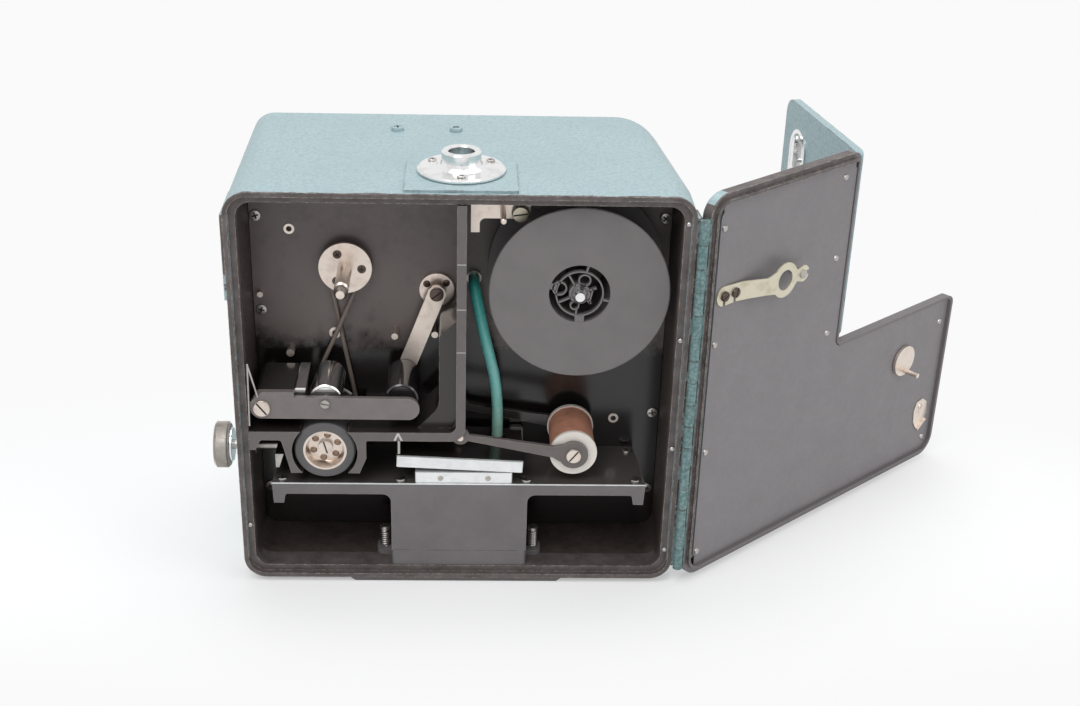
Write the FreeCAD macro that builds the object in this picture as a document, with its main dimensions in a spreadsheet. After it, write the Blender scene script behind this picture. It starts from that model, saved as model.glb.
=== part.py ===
# Microfilm camera: cast casing with an L-shaped main door and a small take-up door,
# film chambers, metering roller, film gate, lens and drive.
# Frame: millimetres, +X right, +Y to the rear, +Z up.
# The origin is the middle of the base pad, where the camera stands.
import FreeCAD, Part
import math
import os
import re
import Sketcher
from FreeCAD import Placement, Rotation, Vector

# Driving dimensions. Depths run back from the rim plane of the casing,
# heights run up from the outside of the casing floor.
SIZES = {
    # casing
    "casing_width": 232, "casing_height": 220, "casing_depth": 136, "casing_wall": 6,
    "casing_corner": 12, "rear_corner": 30, "rear_edge": 5, "rear_round": 26,
    "straight_depth": 25, "side_inset": 2.5, "chamber_corner": 8,
    "rim_lip": 2.4, "rim_step": 3.2, "ledge_width": 5, "ledge_depth": 8,
    "pad_height": 3, "pad_width": 108, "pad_length": 120, "pad_flare": 5, "pad_corner": 8,
    "boss_half_width": 28, "boss_length": 60, "boss_height": 1.2, "boss_corner": 18,
    "wall_pad_tall": 45, "wall_pad_inset": 12, "wall_pad_length": 34, "wall_pad_height": 1.4,
    # mechanism plate
    "chamber_depth": 48, "plate_thickness": 4, "fit_gap": 0.3, "well_radius": 53.5, "well_depth": 1.2,
    "bush_wall": 2.2, "bush_rim": 0.8, "running_gap": 0.05,
    # reel and spindles
    "reel_wall_share": 0.24667, "reel_ceiling_gap": 3.5, "reel_radius": 46, "reel_width": 37, "reel_front": 10,
    "reel_flange": 1.2, "reel_core": 17, "reel_core_wall": 1.3, "slot_inner": 10.6, "slot_outer": 15.4,
    "reel_boss": 6.2, "spindle_radius": 4, "spindle_front": 5, "rear_shaft": 3, "rear_shaft_end": 66,
    "disc_radius": 13.9, "disc_front": 41.2, "disc_thickness": 1.8, "disc_hole": 2.2, "disc_hole_ring": 8.6,
    # belt drive
    "belt_radius": 1.25, "belt_depth": 45.25, "belt_gap": 0.3, "takeup_pulley_pitch": 9.9,
    "wheel_pulley_pitch": 15.6, "pulley_flange": 1.3, "pulley_width": 4.3,
    # metering roller
    "wheel_inset": 39.3, "wheel_height": 76.4, "wheel_radius": 16, "wheel_front": 4, "wheel_back": 38,
    "hub_radius": 11.4, "hub_recess": 5.3, "hub_rim": 1.2, "hub_hole": 1.9, "hub_hole_ring": 6.8,
    "wheel_screw": 3.8, "wheel_shaft_end": 76,
    # chamber divider
    "divider_front": 2, "divider_x": 0.6, "divider_wall": 4.8, "shelf_top": 88.3, "shelf_wall": 4.9,
    "divider_corner": 8, "divider_inner": 4, "yoke_gap": 1.2, "yoke_bottom": 64, "yoke_back": 40.6,
    "yoke_web": 2, "corner_block": 9, "corner_block_top": 150, "corner_block_front": 8,
    # platform, gate and lens block
    "platform_top": 56.7, "platform_plate": 3, "platform_inset": 10.5, "platform_front": 4,
    "flange_drop": 6.6, "hook_drop": 12.2, "hook_width": 6, "flange_wall": 2.6,
    "axis_depth": 28, "gate_left": -23.5, "gate_right": 28.2, "gate_height": 6.3, "gate_depth": 38,
    "gate_front": 5, "aperture_width": 26, "aperture_depth": 32,
    "pressure_left": -33.4, "pressure_right": 33.8, "pressure_height": 6.3, "pressure_lift": 2.7,
    "block_half": 36.5, "block_front": 4, "block_base": 15, "lens_bore": 18, "lens_radius": 16,
    "stud_x": 40.6, "stud_depth": 20, "stud_radius": 1.6, "stud_top": 21, "stud_spring": 2.9,
    "ear_half": 45, "ear_height": 3,
    # guide arm and roller
    "guide_pivot_inset": 7.7, "guide_pivot_height": 101.9, "guide_bar_front": 3, "guide_bar_wall": 2.6,
    "guide_bar_half": 6.1, "guide_bar_gap": 27.6, "guide_block_length": 16.7, "guide_block_top": 111,
    "guide_block_bottom": 95, "guide_back": 38, "guide_roller_lead": 1.1, "guide_roller_height": 104.8,
    "guide_roller_radius": 8.3, "guide_roller_front": 7.5, "axle_radius": 2, "pivot_radius": 3,
    "film_guide_length": 5.8, "film_guide_top": 111.4,
    # tension arm and roller
    "tension_pivot_inset": 13.2, "tension_pivot_height": 151, "tension_roller_inset": 30.9,
    "tension_roller_height": 104.6, "tension_roller_radius": 8.7, "tension_roller_front": 8.5,
    "strap_front": 39.4, "strap_wall": 2, "strap_half": 4.7, "tension_disc": 9.2, "tension_disc_wall": 2.4,
    # dancer
    "dancer_height": 84.8, "dancer_roller_height": 74,
    "dancer_disc": 12.6, "dancer_sleeve": 11.9, "dancer_front": 4.9, "dancer_arm_wall": 2.2,
    "dancer_back": 40.4, "dancer_hub": 4.6, "dancer_neck": 3.2, "dancer_head": 7.8, "dancer_pin": 1.6,
    "relief_radius": 7, "relief_gap": 0.5,
    # supply feeler and its bracket
    "bracket_depth": 25, "bracket_wall": 1.6, "bracket_left": 5, "bracket_right": 26,
    "bracket_tab": 4.4, "bracket_pin_x": 21, "feeler_x": 29.8, "feeler_hub": 4.4, "feeler_reach_x": 43,
    # vacuum pipe
    "pipe_radius": 3, "pipe_bore": 2, "pipe_top_x": 7, "pipe_top_height": 157, "pipe_foot_x": 20.4,
    "pipe_foot_height": 71, "pipe_depth": 34,
    # top socket
    "socket_depth": 33, "socket_flange": 22.3, "socket_flange_wall": 2.6, "socket_tube": 10,
    "socket_bore": 6.6, "socket_height": 10.8, "socket_screw_ring": 17, "plug_left": -34.8, "plug_right": -3.3,
    "plug_depth": 102.8, "plug_radius": 3.4,
    # film knife in the left wall
    "knife_depth": 27, "knife_height": 67.4, "knob_radius": 12.6, "knob_wall": 8, "knob_gap": 7.4,
    "knob_collar": 9.2, "knife_shaft": 2.6, "knife_bush": 5, "knife_inset": 12.5,
    # hinges and doors
    "hinge_out": 3.2, "hinge_forward": 1.5, "knuckle_radius": 2.5, "hinge_pin": 1.1, "leaf_wall": 0.9,
    "leaf_length": 14, "hinge_low": 8, "hinge_top_inset": 11, "knuckle_count": 16, "knuckle_gap": 0.2,
    "hinge_boss": 1.4, "door_gap": 0.4, "door_depth": 7, "door_skin": 1.6, "door_lip": 1.5, "door_corner": 12,
    "door_lip_rise": 1.2, "door_lip_inset": 3.1, "liner_wall": 1.2, "liner_inset": 8.6, "liner_corner": 5,
    "door_open": 220.6, "notch_x": -2.6, "notch_height": 107, "door_seam": 1, "small_door_open": 59,
    "door_tip": 5.4, "door_inner": 4, "door_round": 1.4, "liner_drop": 1, "notch_wall": 1.6, "leaf_height": 4, "small_inset": 3,
    "small_knuckle_count": 9, "pull_inset": 27, "pull_drop": 35, "pull_depth": 3.4, "coupling_knob_wall": 8,
    "small_hinge_radius": 1.6, "small_hinge_pin": 0.7, "small_door_depth": 4.6,
    "keeper_wall": 1, "keeper_rise": 6, "keeper_half": 5, "keeper_ring": 9.6, "keeper_bore": 5.6,
    "coupling_disc": 9.4, "coupling_disc_wall": 2, "coupling_pin": 1.5, "coupling_knob": 11,
    "coupling_pin_ring": 6.8, "coupling_pin_reach": 10.6, "coupling_shaft": 2.5,
    "pull_half_height": 17, "pull_half_width": 10.5, "turn_bar_rise": 1.2,
    # drive behind the mechanism plate
    "gear_module": 1, "wheel_gear_teeth": 40, "motor_gear_teeth": 12, "gear_front": 60, "gear_face": 5,
    "motor_radius": 16, "motor_front": 72, "motor_length": 46, "motor_shaft": 2,
}

# Places that follow from the sizes: across from the middle, and heights.
PLACES = {
    "inner_half": "casing_width/2 - casing_wall",
    "divider_left": "divider_x - divider_wall/2",
    "divider_right": "divider_x + divider_wall/2",
    # the reel stands between the divider and the right wall
    "spool_offset": "inner_half - reel_radius - reel_wall_share*(inner_half - divider_right - 2*reel_radius)",
    "spool_height": "casing_height - casing_wall - reel_radius - reel_ceiling_gap",
    # fixed from the left wall
    "wheel_x": "wheel_inset - inner_half",
    "guide_pivot_x": "guide_pivot_inset - inner_half",
    "guide_roller_x": "wheel_x + guide_roller_lead",
    "guide_block_right": "guide_pivot_x + guide_block_length",
    "film_guide_right": "guide_block_right + film_guide_length",
    "knife_reach": "inner_half - knife_inset",
    "pull_x": "pull_inset - casing_width/2",
    # fixed from the divider
    "tension_pivot_x": "divider_x - tension_pivot_inset",
    "tension_roller_x": "divider_x - tension_roller_inset",
    "guide_bar_end": "divider_x - guide_bar_gap",
    "dancer_x": "divider_x - 0.2",
    "dancer_roller_x": "spool_offset + 0.1",
    "platform_half": "inner_half - platform_inset",
    # fixed from the ceiling
    "bracket_low": "casing_height - 28.5",
    "bracket_mid": "bracket_low + 7.5",
    "bracket_pin_height": "bracket_low + 13",
    "feeler_height": "bracket_low + 11.1",
    "feeler_reach_height": "bracket_low - 1.5",
    "hinge_high": "casing_height - hinge_top_inset",
    "wall_pad_high": "casing_height - wall_pad_inset",
    "wall_pad_low": "wall_pad_high - wall_pad_tall",
    "pull_height": "casing_height - pull_drop",
}

doc = FreeCAD.newDocument("microfilm_camera")
sheet = doc.addObject("Spreadsheet::Sheet", "Sizes")
for row, (alias, number) in enumerate(SIZES.items(), start=1):
    sheet.set(f"A{row}", alias)
    sheet.set(f"B{row}", str(number))
    sheet.setAlias(f"B{row}", alias)
doc.recompute()

NODES = []
ALONG_X = Rotation(Vector(0, 1, 0), 90)
ALONG_Y = Rotation(Vector(1, 0, 0), -90)
ALONG_Z = Rotation()
TURNS = {"X": ALONG_X, "Y": ALONG_Y, "Z": ALONG_Z}


def spell(text):
    """Write out every place named in an expression as an expression of sizes."""
    return re.sub(r"[a-z]+(_[a-z0-9]+)+", lambda found: (
        f"({spell(PLACES[found.group(0)])})" if found.group(0) in PLACES else found.group(0)), str(text))


def bind(text):
    """Point every size named in an expression at its cell."""
    return re.sub(r"[a-z]+(_[a-z0-9]+)+", lambda found: "Sizes." + found.group(0), spell(text))


def size(text):
    """The number that an expression of sizes comes to."""
    return float(sheet.evalExpression(spell(text)))


def depth(text):
    """The Y of a depth behind the rim plane."""
    return f"({text}) - casing_depth/2"


def height(text):
    """The Z of a height above the casing floor."""
    return f"({text}) + pad_height"


def keep(name, item):
    """Count an object as a finished piece under its own name."""
    item.Label = name
    NODES.append(item)
    return item


def move(item, x="0", y="0", z="0", turn=None):
    """Bind an object's place to sizes."""
    if turn is not None:
        item.Placement = Placement(Vector(), turn)
    for axis, text in zip("xyz", (x, y, z)):
        item.setExpression("Placement.Base." + axis, bind(text))
    return item


def swing(item, angle, x, y):
    """Turn a piece about an upright axis through x, y."""
    item.setExpression("Placement.Rotation.Angle", bind(angle))
    item.setExpression("Placement.Base.x", bind(f"({x})*(1 - cos({angle})) + ({y})*sin({angle})"))
    item.setExpression("Placement.Base.y", bind(f"({y})*(1 - cos({angle})) - ({x})*sin({angle})"))
    return item


def block(name, x, y, z, width, length, tall):
    """A box by its low corner and its three sizes."""
    item = doc.addObject("Part::Box", name)
    for field, text in (("Length", width), ("Width", length), ("Height", tall)):
        item.setExpression(field, bind(text))
    return move(item, x, y, z)


def rod(name, axis, x, y, z, radius, length):
    """A cylinder that runs up its axis from x, y, z."""
    item = doc.addObject("Part::Cylinder", name)
    item.setExpression("Radius", bind(radius))
    item.setExpression("Height", bind(length))
    return move(item, x, y, z, TURNS[axis])


def join(name, *parts):
    """Fuse touching solids into one."""
    item = doc.addObject("Part::MultiFuse", name)
    item.Shapes = list(parts)
    return item


def carve(name, base, *tools):
    """Take tools away from a solid."""
    item = doc.addObject("Part::Cut", name)
    item.Base = base
    item.Tool = tools[0] if len(tools) == 1 else group(name + "_tools", *tools)
    return item


def overlap(name, first, second):
    """The common part of two solids."""
    item = doc.addObject("Part::Common", name)
    item.Base = first
    item.Tool = second
    return item


def group(name, *parts):
    """Like pieces as one compound of separate solids."""
    item = doc.addObject("Part::Compound", name)
    item.Links = list(parts)
    return item


def new_body(name):
    """A PartDesign body."""
    return doc.addObject("PartDesign::Body", name)


def new_sketch(body, plane, offset="0"):
    """A sketch on one of the body's planes, moved along +X, +Y or +Z by offset."""
    sketch = body.newObject("Sketcher::SketchObject", body.Name + "_sketch")
    origin = next(item for item in body.Origin.OriginFeatures if item.Role == plane + "_Plane")
    sketch.AttachmentSupport = (origin, [""])
    sketch.MapMode = "FlatFace"
    sign = "-" if plane == "XZ" else ""
    sketch.setExpression("AttachmentOffset.Base.z", bind(f"{sign}({offset})"))
    return sketch


def pin_point(sketch, item, place, x, y):
    """Hold a point of a sketch at x, y."""
    for kind, text in (("DistanceX", x), ("DistanceY", y)):
        index = sketch.addConstraint(Sketcher.Constraint(kind, -1, 1, item, place, size(text)))
        sketch.setExpression(f"Constraints[{index}]", bind(text))


def outline(sketch, corners):
    """A closed outline of straight runs, with an arc at each corner that has a radius."""
    places = [Vector(size(corner[0]), size(corner[1]), 0) for corner in corners]
    radii = [corner[2] if len(corner) > 2 else None for corner in corners]
    count = len(corners)
    marks = [sketch.addGeometry(Part.Point(place), True) for place in places]
    ends = []
    for index, (place, radius) in enumerate(zip(places, radii)):
        before = (places[index - 1] - place).normalize()
        after = (places[(index + 1) % count] - place).normalize()
        reach = size(radius) / math.tan(before.getAngle(after) / 2) if radius else 0
        ends.append((place + before * reach, place + after * reach))
    lines = [
        sketch.addGeometry(Part.LineSegment(ends[index][1], ends[(index + 1) % count][0]), False)
        for index in range(count)
    ]
    for index, (corner, radius) in enumerate(zip(corners, radii)):
        line_in, line_out = lines[index - 1], lines[index]
        pin_point(sketch, marks[index], 1, corner[0], corner[1])
        if radius is None:
            sketch.addConstraint(Sketcher.Constraint("Coincident", marks[index], 1, line_in, 2))
            sketch.addConstraint(Sketcher.Constraint("Coincident", marks[index], 1, line_out, 1))
            continue
        start, end = ends[index]
        before = (start - places[index]).normalize()
        after = (end - places[index]).normalize()
        half = before.getAngle(after) / 2
        middle = places[index] + (before + after).normalize() * (size(radius) / math.sin(half) - size(radius))
        leftward = (middle - start).cross(end - middle).z > 0
        route = (start, middle, end) if leftward else (end, middle, start)
        arc = sketch.addGeometry(Part.Arc(*route), False)
        first = 1 if leftward else 2
        sketch.addConstraint(Sketcher.Constraint("Tangent", line_in, 2, arc, first))
        sketch.addConstraint(Sketcher.Constraint("Tangent", arc, 3 - first, line_out, 1))
        held = sketch.addConstraint(Sketcher.Constraint("Radius", arc, size(radius)))
        sketch.setExpression(f"Constraints[{held}]", bind(radius))
        for line in (line_in, line_out):
            sketch.addConstraint(Sketcher.Constraint("PointOnObject", marks[index], 1, line))
    return sketch


def ring(sketch, x, y, radius):
    """A circle in a sketch."""
    circle = sketch.addGeometry(Part.Circle(Vector(size(x), size(y), 0), Vector(0, 0, 1), size(radius)), False)
    pin_point(sketch, circle, 3, x, y)
    held = sketch.addConstraint(Sketcher.Constraint("Radius", circle, size(radius)))
    sketch.setExpression(f"Constraints[{held}]", bind(radius))
    return sketch


def box_corners(left, right, low, high, radius=None):
    """Corners of an upright rectangle, round where a radius is given."""
    tail = (radius,) if radius else ()
    return [(left, low) + tail, (right, low) + tail, (right, high) + tail, (left, high) + tail]


def pad(body, sketch, length):
    """Thicken a sketch along +X, +Y or +Z."""
    feature = body.newObject("PartDesign::Pad", body.Name + "_pad")
    feature.Profile = sketch
    feature.setExpression("Length", bind(length))
    feature.Reversed = sketch.AttachmentSupport[0][0].Role == "XZ_Plane"
    return feature


def pocket(body, sketch, length):
    """Sink a sketch into the body along +X, +Y or +Z."""
    doc.recompute()
    before = body.Shape.Volume
    feature = body.newObject("PartDesign::Pocket", body.Name + "_pocket")
    feature.Profile = sketch
    feature.setExpression("Length", bind(length))
    feature.Reversed = sketch.AttachmentSupport[0][0].Role != "XZ_Plane"
    doc.recompute()
    if not body.Shape.Volume < before - 1e-6:
        raise RuntimeError("the pocket in " + body.Name + " cuts nothing")
    return feature


def plate(name, plane, start, length, corners, holes=()):
    """A body padded from one outline, with round holes through it."""
    body = new_body(name)
    pad(body, outline(new_sketch(body, plane, start), corners), length)
    if holes:
        sketch = new_sketch(body, plane, start)
        for x, y, radius in holes:
            ring(sketch, x, y, radius)
        pocket(body, sketch, length)
    return body


def turned(name, axis, x, y, z, corners):
    """A lathe-turned body; corners give radius and distance along the axis."""
    body = new_body(name)
    sketch = outline(new_sketch(body, "XZ"), corners)
    feature = body.newObject("PartDesign::Revolution", name + "_turn")
    feature.Profile = sketch
    feature.ReferenceAxis = (sketch, ["V_Axis"])
    feature.Angle = 360
    return move(body, x, y, z, TURNS[axis])


def sleeve(name, axis, x, y, z, outer, inner, length):
    """A round bush with a plain bore."""
    body = rod(name + "_body", axis, x, y, z, outer, length)
    bore = rod(name + "_bore", axis, x, y, z, inner, length)
    return carve(name, body, bore)


def screw(name, axis, x, y, z, head, head_wall, shank, length):
    """A round-headed screw; the head stands on x, y, z and the shank runs up the axis."""
    profile = [
        ("0", f"-({head_wall})"), (f"0.85*({head})", f"-({head_wall})"), (head, "0"), (shank, "0"),
        (shank, length), ("0", length),
    ]
    return turned(name, axis, x, y, z, profile)


def tube_run(start, end, radius):
    """A straight run of round tube."""
    return Part.makeCylinder(radius, (end - start).Length, start, end - start)


def tube_bend(centre, start, end, radius, long_way=False):
    """A round tube bent about a centre, from start to end."""
    first = (start - centre).normalize()
    last = (end - centre).normalize()
    axis = first.cross(last).normalize()
    sweep = math.degrees(first.getAngle(last))
    if long_way:
        axis, sweep = axis * -1, 360 - sweep
    bend = Part.makeTorus((start - centre).Length, radius, Vector(), Vector(0, 0, 1), 0, 360, sweep)
    bend.Placement = Placement(centre, Rotation(first, axis.cross(first), axis, "XZY"))
    return bend


def tube_route(points, radius):
    """A round tube along straight runs, with a smooth bend at each corner."""
    pieces, here = [], points[0]
    for before, corner, after in zip(points, points[1:], points[2:]):
        back, ahead = before - corner, after - corner
        reach = 0.45 * min(back.Length, ahead.Length)
        half = back.getAngle(ahead) / 2
        start = corner + Vector(back).normalize() * reach
        end = corner + Vector(ahead).normalize() * reach
        inward = (Vector(back).normalize() + Vector(ahead).normalize()).normalize()
        centre = corner + inward * (reach / math.cos(half))
        pieces += [tube_run(here, start, radius), tube_bend(centre, start, end, radius)]
        here = end
    pieces.append(tube_run(here, points[-1], radius))
    return pieces[0].multiFuse(pieces[1:]).removeSplitter()


# Places that several pieces share.
RIM = depth("0")
FLOOR = height("0")
PLATE_FRONT = depth("chamber_depth")
INSIDE = "casing_width/2 - casing_wall"
CEILING = height("casing_height - casing_wall")
SUPPLY = ("spool_offset", height("spool_height"))
TAKEUP = ("-spool_offset", height("spool_height"))
WHEEL = ("wheel_x", height("wheel_height"))
GUIDE_PIVOT = ("guide_pivot_x", height("guide_pivot_height"))
GUIDE_ROLLER = ("guide_roller_x", height("guide_roller_height"))
TENSION_PIVOT = ("tension_pivot_x", height("tension_pivot_height"))
TENSION_ROLLER = ("tension_roller_x", height("tension_roller_height"))
DANCER_PIVOT = ("dancer_x", height("dancer_height"))
DANCER_ROLLER = ("dancer_roller_x", height("dancer_roller_height"))
FEELER = ("feeler_x", height("feeler_height"))
HINGE_X = "casing_width/2 + hinge_out"
HINGE_Y = depth("-hinge_forward")
MOTOR_X = "wheel_x + gear_module*(wheel_gear_teeth + motor_gear_teeth)/2"


def make_casing():
    """The cast casing: a deep box, open in front, with a stepped rim."""
    shell = new_body("casing_outer")
    front = box_corners("-casing_width/2", "casing_width/2", FLOOR, height("casing_height"), "casing_corner")
    pad(shell, outline(new_sketch(shell, "XZ", RIM), front), "straight_depth")
    near = outline(new_sketch(shell, "XZ", depth("straight_depth")), front)
    right = "casing_width/2 - side_inset"
    far = outline(new_sketch(shell, "XZ", depth("casing_depth")), [
        ("-casing_width/2", FLOOR, "casing_corner"), (right, FLOOR, "casing_corner"),
        (right, height("casing_height"), "rear_corner"), ("-casing_width/2", height("casing_height"), "casing_corner"),
    ])
    loft = shell.newObject("PartDesign::AdditiveLoft", "casing_loft")
    loft.Profile = near
    loft.Sections = [(far, [""])]
    loft.Ruled = True
    doc.recompute()
    rear = [
        f"Edge{index}" for index, edge in enumerate(loft.Shape.Edges, start=1)
        if abs(edge.BoundBox.YMin - size(depth("casing_depth"))) < 1e-4
    ]
    fillet = shell.newObject("PartDesign::Fillet", "casing_rear_fillet")
    fillet.Base = (loft, rear)
    fillet.setExpression("Radius", bind("rear_edge"))
    shell.Tip = fillet
    plan = plate("casing_plan", "XY", height("-1"), "casing_height + 2", [
        ("-casing_width/2 - 1", depth("-1")), ("casing_width/2 + 1", depth("-1")),
        ("casing_width/2 + 1", depth("straight_depth")),
        (right, depth("casing_depth"), "rear_round"), ("-casing_width/2 - 1", depth("casing_depth")),
    ])
    outer = overlap("casing_form", shell, plan)

    pad_low = new_body("base_pad")
    low = outline(new_sketch(pad_low, "XY", "0"), box_corners(
        "-pad_width/2", "pad_width/2", "-pad_length/2", "pad_length/2", "pad_corner"))
    high = outline(new_sketch(pad_low, "XY", "pad_height + 0.5"), box_corners(
        "-pad_width/2 - pad_flare", "pad_width/2 + pad_flare",
        "-pad_length/2 - pad_flare", "pad_length/2 + pad_flare", "pad_corner"))
    rise = pad_low.newObject("PartDesign::AdditiveLoft", "base_pad_loft")
    rise.Profile = low
    rise.Sections = [(high, [""])]
    rise.Ruled = True

    boss = plate("top_boss", "XY", height("casing_height - 2"), "boss_height + 2", [
        ("-boss_half_width", depth("3")), ("boss_half_width", depth("3")),
        ("boss_half_width", depth("3 + boss_length"), "boss_corner"),
        ("-boss_half_width", depth("3 + boss_length"), "boss_corner"),
    ])
    wedge = plate("hinge_wedge", "XY", height("hinge_low"), "hinge_high - hinge_low", [
        ("casing_width/2 - 2", depth("1")), ("casing_width/2 + hinge_boss", depth("1")),
        ("casing_width/2 + hinge_boss", depth("3")), ("casing_width/2 - 0.5", depth("straight_depth")),
        ("casing_width/2 - 2", depth("straight_depth")),
    ])
    wall_pad = block("wall_pad", "-casing_width/2 - wall_pad_height", depth("1"), height("wall_pad_low"),
                     "wall_pad_height + 2", "wall_pad_length", "wall_pad_high - wall_pad_low")
    solid = join("casing_solid", outer, pad_low, boss, wedge, wall_pad)

    chamber = plate("chamber_void", "XZ", depth("-1"), "chamber_depth + plate_thickness + 1", box_corners(
        f"-({INSIDE})", INSIDE, height("casing_wall"), CEILING, "chamber_corner"))
    step = plate("rim_void", "XZ", depth("-1"), "rim_step + 1", box_corners(
        "-casing_width/2 + rim_lip", "casing_width/2 - rim_lip", height("rim_lip"),
        height("casing_height - rim_lip"), "casing_corner - rim_lip"))
    ledge = plate("ledge_void", "XZ", depth("chamber_depth + plate_thickness - 1"), "ledge_depth + 2", box_corners(
        f"-({INSIDE}) + ledge_width", f"{INSIDE} - ledge_width", height("casing_wall + ledge_width"),
        height("casing_height - casing_wall - ledge_width"), "chamber_corner"))
    rear_start = "chamber_depth + plate_thickness + ledge_depth"
    rear_void = new_body("rear_void")
    pad(rear_void, outline(new_sketch(rear_void, "XZ", depth(rear_start)), [
        (f"-({INSIDE})", height("casing_wall"), "chamber_corner"),
        (f"{INSIDE} - side_inset", height("casing_wall"), "chamber_corner"),
        (f"{INSIDE} - side_inset", CEILING, "rear_corner"),
        (f"-({INSIDE})", CEILING, "chamber_corner"),
    ]), f"casing_depth - casing_wall - ({rear_start})")
    rear_plan = plate("rear_plan", "XY", height("0"), "casing_height", [
        ("-casing_width/2", depth(rear_start)), (f"{INSIDE} - side_inset", depth(rear_start)),
        (f"{INSIDE} - side_inset", depth("casing_depth - casing_wall"), "rear_round - casing_wall/2"),
        ("-casing_width/2", depth("casing_depth - casing_wall")),
    ])
    compartment = overlap("rear_compartment", rear_void, rear_plan)
    lens_port = rod("lens_port", "Z", "0", depth("axis_depth"), "-1", "lens_bore", "casing_wall + pad_height + 2")
    knife_port = rod("knife_port", "X", "-casing_width/2 - 2", depth("knife_depth"), height("knife_height"),
                     "knife_bush", "casing_wall + 4")
    socket_ports = [
        rod(f"socket_screw_port_{index}", "Z", f"socket_screw_ring*cos({angle})",
            depth(f"socket_depth + socket_screw_ring*sin({angle})"), height("casing_height - 4"), "1.2", "8")
        for index, angle in enumerate((-90, 30, 150))
    ]
    plug_ports = [
        rod(f"plug_port_{index}", "Z", x, depth("plug_depth"), height("casing_height - casing_wall - 1"), "1.6", "10")
        for index, x in enumerate(("plug_left", "plug_right"))
    ]
    screw_ports = [
        rod(f"plate_screw_port_{index}", "Y", x, depth("chamber_depth + plate_thickness - 0.5"), height(h), "1.3", "6")
        for index, (x, h) in enumerate(PLATE_SCREWS)
    ]
    keep("casing", carve("casing", solid, chamber, step, ledge, compartment, lens_port, knife_port,
                         *socket_ports, *plug_ports, *screw_ports))


# Screws that hold the mechanism plate: place across and height.
PLATE_SCREWS = (("3.6 - inner_half", "casing_height - 29.2"), ("inner_half - 3.6", "casing_height - 28.3"),
                ("4.2 - inner_half", "137.9"), ("inner_half - 3.8", "78.1"),
                ("4 - inner_half", "30"), ("inner_half - 4", "30"))


def make_mechanism_plate():
    """The plate that carries the spindles, with the shallow well behind the reel."""
    body = plate("mechanism_plate", "XZ", PLATE_FRONT, "plate_thickness", box_corners(
        f"-({INSIDE}) + fit_gap", f"{INSIDE} - fit_gap", height("casing_wall + fit_gap"),
        height("casing_height - casing_wall - fit_gap"), "chamber_corner"), [
            (*SUPPLY, "rear_shaft + bush_wall"), (*TAKEUP, "rear_shaft + bush_wall"),
            (*WHEEL, "rear_shaft + bush_wall"), (*TENSION_PIVOT, "rear_shaft + bush_wall"),
            (*GUIDE_PIVOT, "pivot_radius"), ("pipe_top_x", height("pipe_top_height"), "pipe_radius + 1"),
            (*DANCER_PIVOT, "dancer_pin"),
        ] + [(x, height(h), "1.3") for x, h in PLATE_SCREWS]
        + [(x, height(h), r) for x, h, d, r in PLATE_PINS])
    sketch = ring(new_sketch(body, "XZ", PLATE_FRONT), *SUPPLY, "well_radius")
    pocket(body, sketch, "well_depth")
    keep("mechanism_plate", body)

    keep("plate_screws", group("plate_screws", *[
        screw(f"plate_screw_{index}", "Y", x, PLATE_FRONT, height(h), "3", "1.2", "1.3", "plate_thickness + 5")
        for index, (x, h) in enumerate(PLATE_SCREWS)
    ]))
    bushes = []
    for name, place in (("supply", SUPPLY), ("takeup", TAKEUP), ("wheel", WHEEL), ("tension", TENSION_PIVOT)):
        start = "well_depth" if name == "supply" else "0"
        bushes.append(sleeve(f"{name}_bush", "Y", place[0], depth(f"chamber_depth + {start}"), place[1],
                             "rear_shaft + bush_wall", "rear_shaft + running_gap",
                             f"plate_thickness - ({start}) + 3"))
    keep("shaft_bushes", group("shaft_bushes", *bushes))
    pins = [
        rod(f"plate_pin_{index}", "Y", x, depth(d), height(h), r, f"chamber_depth + plate_thickness - ({d})")
        for index, (x, h, d, r) in enumerate(PLATE_PINS)
    ]
    keep("plate_pins", group("plate_pins", *pins))


# Posts and pins that stand on the mechanism plate: place across, height, front and radius.
PLATE_PINS = (("18.9 - inner_half", "114.3", "43.5", "2.2"), ("divider_x - 35.5", "126.6", "39", "1.8"),
              ("divider_x - 14.2", "127.8", "39", "1.8"), ("20.7 - inner_half", "casing_height - 36.4", "47.4", "2.8"),
              ("inner_half - 25.2", "74.4", "47.4", "2.8"), ("4.1 - inner_half", "147.4", "45", "1.6"))


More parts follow.
